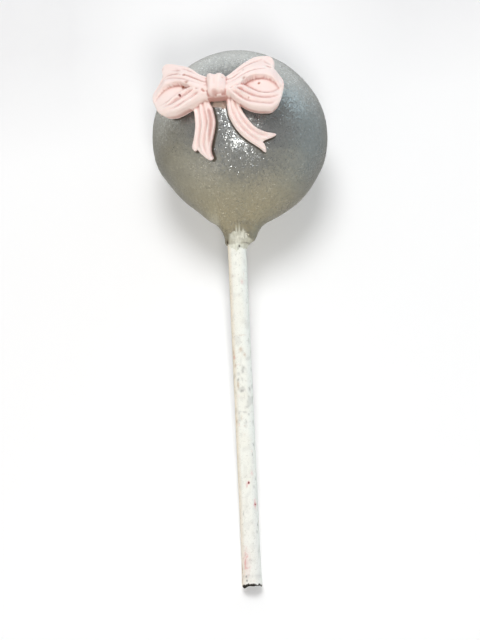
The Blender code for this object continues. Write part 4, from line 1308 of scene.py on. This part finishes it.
def make_stage(stage):
    """The pale floor, the soft lights, the surroundings and the camera."""
    mesh = bmesh.new()
    bmesh.ops.create_grid(mesh, x_segments=8, y_segments=8, size=FLOOR_SIZE)
    data = bpy.data.meshes.new("floor")
    mesh.to_mesh(data)
    mesh.free()
    floor = bpy.data.objects.new("floor", data)
    floor.data.materials.append(floor_material(stage))
    bpy.context.scene.collection.objects.link(floor)
    floor.visible_glossy = False
    make_camera()
    right, up, back = camera_axes()
    key = right * 0.046 - up * 0.205 + back * 0.977
    add_light("key", key, 0.45, 0.10, stage.key_power, (1.0, 0.99, 0.97))
    add_light("overhead", (-0.04, 0.27, 0.96), 0.6, 0.26, stage.overhead_power, (1.0, 1.0, 1.0))
    add_light("window", (0.80, 0.56, 0.16), 0.7, 0.35, stage.window_power, (0.62, 0.86, 1.0))
    add_light("side", (-0.62, -0.66, 0.42), 0.6, 0.30, stage.side_power, (1.0, 0.92, 0.80))
    world = bpy.data.worlds.new("surroundings")
    world.use_nodes = True
    tree = Tree(world.node_tree)
    background = world.node_tree.nodes["Background"]
    way = tree.add("ShaderNodeSeparateXYZ", None, {0: tree.add("ShaderNodeTexCoord")["Generated"]})
    round_about = tree.mix((way["X"] * 0.7 + 0.5).clamped(), rgb(stage.left_side), rgb(stage.right_side))
    for share, colour in (
            ((way["Y"] - way["X"] * 0.2 - 0.25) * 1.6, stage.behind),
            ((way["Z"] + 0.45) * -2.5, stage.beneath),
            ((way["Y"] + way["X"] * 0.2) * -1.4, stage.in_front),
            (way["Z"] * 2.2, stage.zenith)):
        round_about = tree.mix(share.clamped(), round_about, rgb(colour))
    tree.put(background.inputs["Color"], round_about)
    background.inputs["Strength"].default_value = stage.surroundings
    bpy.context.scene.world = world
    bpy.context.scene.view_settings.view_transform = "Standard"


def colour_property(name, description, default):
    """A colour in a property group; the surroundings may be brighter than white."""
    return bpy.props.FloatVectorProperty(
        name=name, description=description, default=default, size=3, subtype="COLOR", min=0.0, max=4.0)


def amount_property(name, description, default, **kind):
    """A number of at least 0 in a property group; kind may give its limit, unit and subtype."""
    return bpy.props.FloatProperty(name=name, description=description, default=default, min=0.0, **kind)


class CakePopLook(bpy.types.PropertyGroup):
    """Colours and finishes of the cake pop"""

    coating_colour: colour_property("Coating", "Main colour of the pearl coating", (0.330, 0.337, 0.326))
    coating_shade: colour_property(
        "Coating shade", "Colour of the coating's darker clouds", (0.238, 0.246, 0.240))
    # Colour of the painted warm light towards the neck and the left side of the ball
    coating_warm_light: colour_property(
        "Coating at neck", "Colour of the thin coating at the neck", (0.335, 0.308, 0.228))
    coating_metal: amount_property("Metal", "How metallic the coating looks", 0.6, max=1.0)
    facet_tilt: amount_property("Facet tilt", "Unevenness of the coating's fine facets", 0.29, max=1.0)
    flake_density: amount_property("Flakes", "Lustre flakes on each square millimetre", 11.2, max=20.0)
    flake_size: amount_property(
        "Flake size", "Radius of a lustre flake", 0.10 * MM, subtype="DISTANCE", unit="LENGTH")
    flake_tilt: amount_property(
        "Flake tilt", "Largest lean of a flake", 0.36, subtype="ANGLE", unit="ROTATION")
    flake_seed: bpy.props.IntProperty(name="Flake seed", description="Draw of the flakes' places", default=5)
    dab_colour: colour_property("Glue", "Colour of the dab under the knot", (0.40, 0.34, 0.27))
    paste_colour: colour_property("Paste", "Main colour of the bow", (0.925, 0.762, 0.725))
    paste_pale: colour_property("Pale paste", "Paler clouds of the bow", (0.96, 0.84, 0.81))
    # Colour of the painted shade in the bow's hollows, creases and undersides
    paste_shade: colour_property("Deep paste", "Colour in the hollows of the bow", (0.58, 0.31, 0.275))
    paper_colour: colour_property("Paper", "Main colour of the stick", (0.925, 0.943, 0.882))
    paper_warm: colour_property("Aged paper", "Warmer clouds of the stick", (0.88, 0.86, 0.77))


class CakePopStage(bpy.types.PropertyGroup):
    """Floor and lights around the cake pop"""

    floor_colour: colour_property("Floor", "Colour of the floor", (0.95, 0.953, 0.96))
    # Colour of the painted shade on the floor far behind
    floor_far_shade: colour_property("Far floor", "Colour of the floor far behind", (0.86, 0.86, 0.87))
    zenith: colour_property("Zenith", "Colour of the surroundings overhead", (0.21, 0.21, 0.215))
    left_side: colour_property("Left", "Colour of the surroundings on the left", (0.32, 0.27, 0.18))
    right_side: colour_property("Right", "Colour of the surroundings on the right", (0.43, 0.50, 0.52))
    behind: colour_property("Behind", "Colour of the surroundings behind", (1.62, 1.64, 1.62))
    in_front: colour_property("In front", "Colour of the surroundings in front", (0.87, 0.79, 0.60))
    beneath: colour_property("Beneath", "Colour of the surroundings straight below", (0.40, 0.39, 0.36))
    surroundings: amount_property("Surroundings", "Strength of the light from all around", 1.12)
    key_power: amount_property("Key", "Power of the light near the camera", 0.62, unit="POWER")
    overhead_power: amount_property("Overhead", "Power of the soft light above", 1.8, unit="POWER")
    window_power: amount_property("Window", "Power of the cool light from the right", 0.35, unit="POWER")
    side_power: amount_property("Side", "Power of the warm light from the left", 0.18, unit="POWER")


class PieceOperator:
    """What the operators of the pieces share."""

    bl_options = {"REGISTER", "UNDO"}

    def execute(self, context):
        self.build(context)
        return {"FINISHED"}


class CAKEPOP_OT_ball(PieceOperator, bpy.types.Operator):
    """Make the coated ball with its neck"""

    bl_idname = "cakepop.ball"
    bl_label = "Coated ball"

    def build(self, context):
        ball = make_ball(context.scene.cakepop_look)
        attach(ball, "root")
        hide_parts("cake_ball")


class CAKEPOP_OT_flakes(PieceOperator, bpy.types.Operator):
    """Scatter the lustre flakes over the coating"""

    bl_idname = "cakepop.flakes"
    bl_label = "Lustre flakes"

    def build(self, context):
        flakes = make_flakes(context.scene.cakepop_look)
        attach(flakes, "root")


class CAKEPOP_OT_dab(PieceOperator, bpy.types.Operator):
    """Make the dab of sugar glue under the knot"""

    bl_idname = "cakepop.dab"
    bl_label = "Sugar dab"

    def build(self, context):
        dab = make_dab(context.scene.cakepop_look)
        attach(dab, "root")


class CAKEPOP_OT_stick(PieceOperator, bpy.types.Operator):
    """Make the paper stick"""

    bl_idname = "cakepop.stick"
    bl_label = "Paper stick"

    def build(self, context):
        stick = make_stick(context.scene.cakepop_look)
        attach(stick, "root")
        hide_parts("stick")


class CAKEPOP_OT_bow(PieceOperator, bpy.types.Operator):
    """Make the moulded sugar bow"""

    bl_idname = "cakepop.bow"
    bl_label = "Moulded bow"

    def build(self, context):
        bow = make_bow(context.scene.cakepop_look)
        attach(bow, "root")
        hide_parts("bow")


class CAKEPOP_OT_stage(PieceOperator, bpy.types.Operator):
    """Make the floor, the lights and the camera"""

    bl_idname = "cakepop.stage"
    bl_label = "Floor, lights and camera"

    def build(self, context):
        make_stage(context.scene.cakepop_stage)


OPERATORS = (
    CAKEPOP_OT_ball, CAKEPOP_OT_flakes, CAKEPOP_OT_dab, CAKEPOP_OT_stick, CAKEPOP_OT_bow, CAKEPOP_OT_stage,
)


class CAKEPOP_PT_panel(bpy.types.Panel):
    """Sizes, colours and steps of the cake pop"""

    bl_idname = "CAKEPOP_PT_panel"
    bl_label = "Cake pop"
    bl_space_type = "VIEW_3D"
    bl_region_type = "UI"
    bl_category = "Cake pop"

    def draw(self, context):
        column = self.layout.column()
        for settings in (context.scene.cakepop_look, context.scene.cakepop_stage):
            for name in settings.bl_rna.properties.keys():
                if name not in ("rna_type", "name"):
                    column.prop(settings, name)
        for operator in OPERATORS:
            column.operator(operator.bl_idname)


CLASSES = (CakePopLook, CakePopStage, *OPERATORS, CAKEPOP_PT_panel)


def register():
    """Makes the classes and the settings known to Blender."""
    for known in CLASSES:
        bpy.utils.register_class(known)
    bpy.types.Scene.cakepop_look = bpy.props.PointerProperty(type=CakePopLook)
    bpy.types.Scene.cakepop_stage = bpy.props.PointerProperty(type=CakePopStage)


def unregister():
    """Takes the classes and the settings away again."""
    del bpy.types.Scene.cakepop_stage
    del bpy.types.Scene.cakepop_look
    for known in reversed(CLASSES):
        bpy.utils.unregister_class(known)


def main():
    """Makes every piece and the stage."""
    register()
    bpy.ops.cakepop.ball()
    bpy.ops.cakepop.flakes()
    bpy.ops.cakepop.dab()
    bpy.ops.cakepop.stick()
    bpy.ops.cakepop.bow()
    bpy.ops.cakepop.stage()


if __name__ == "__main__":
    main()
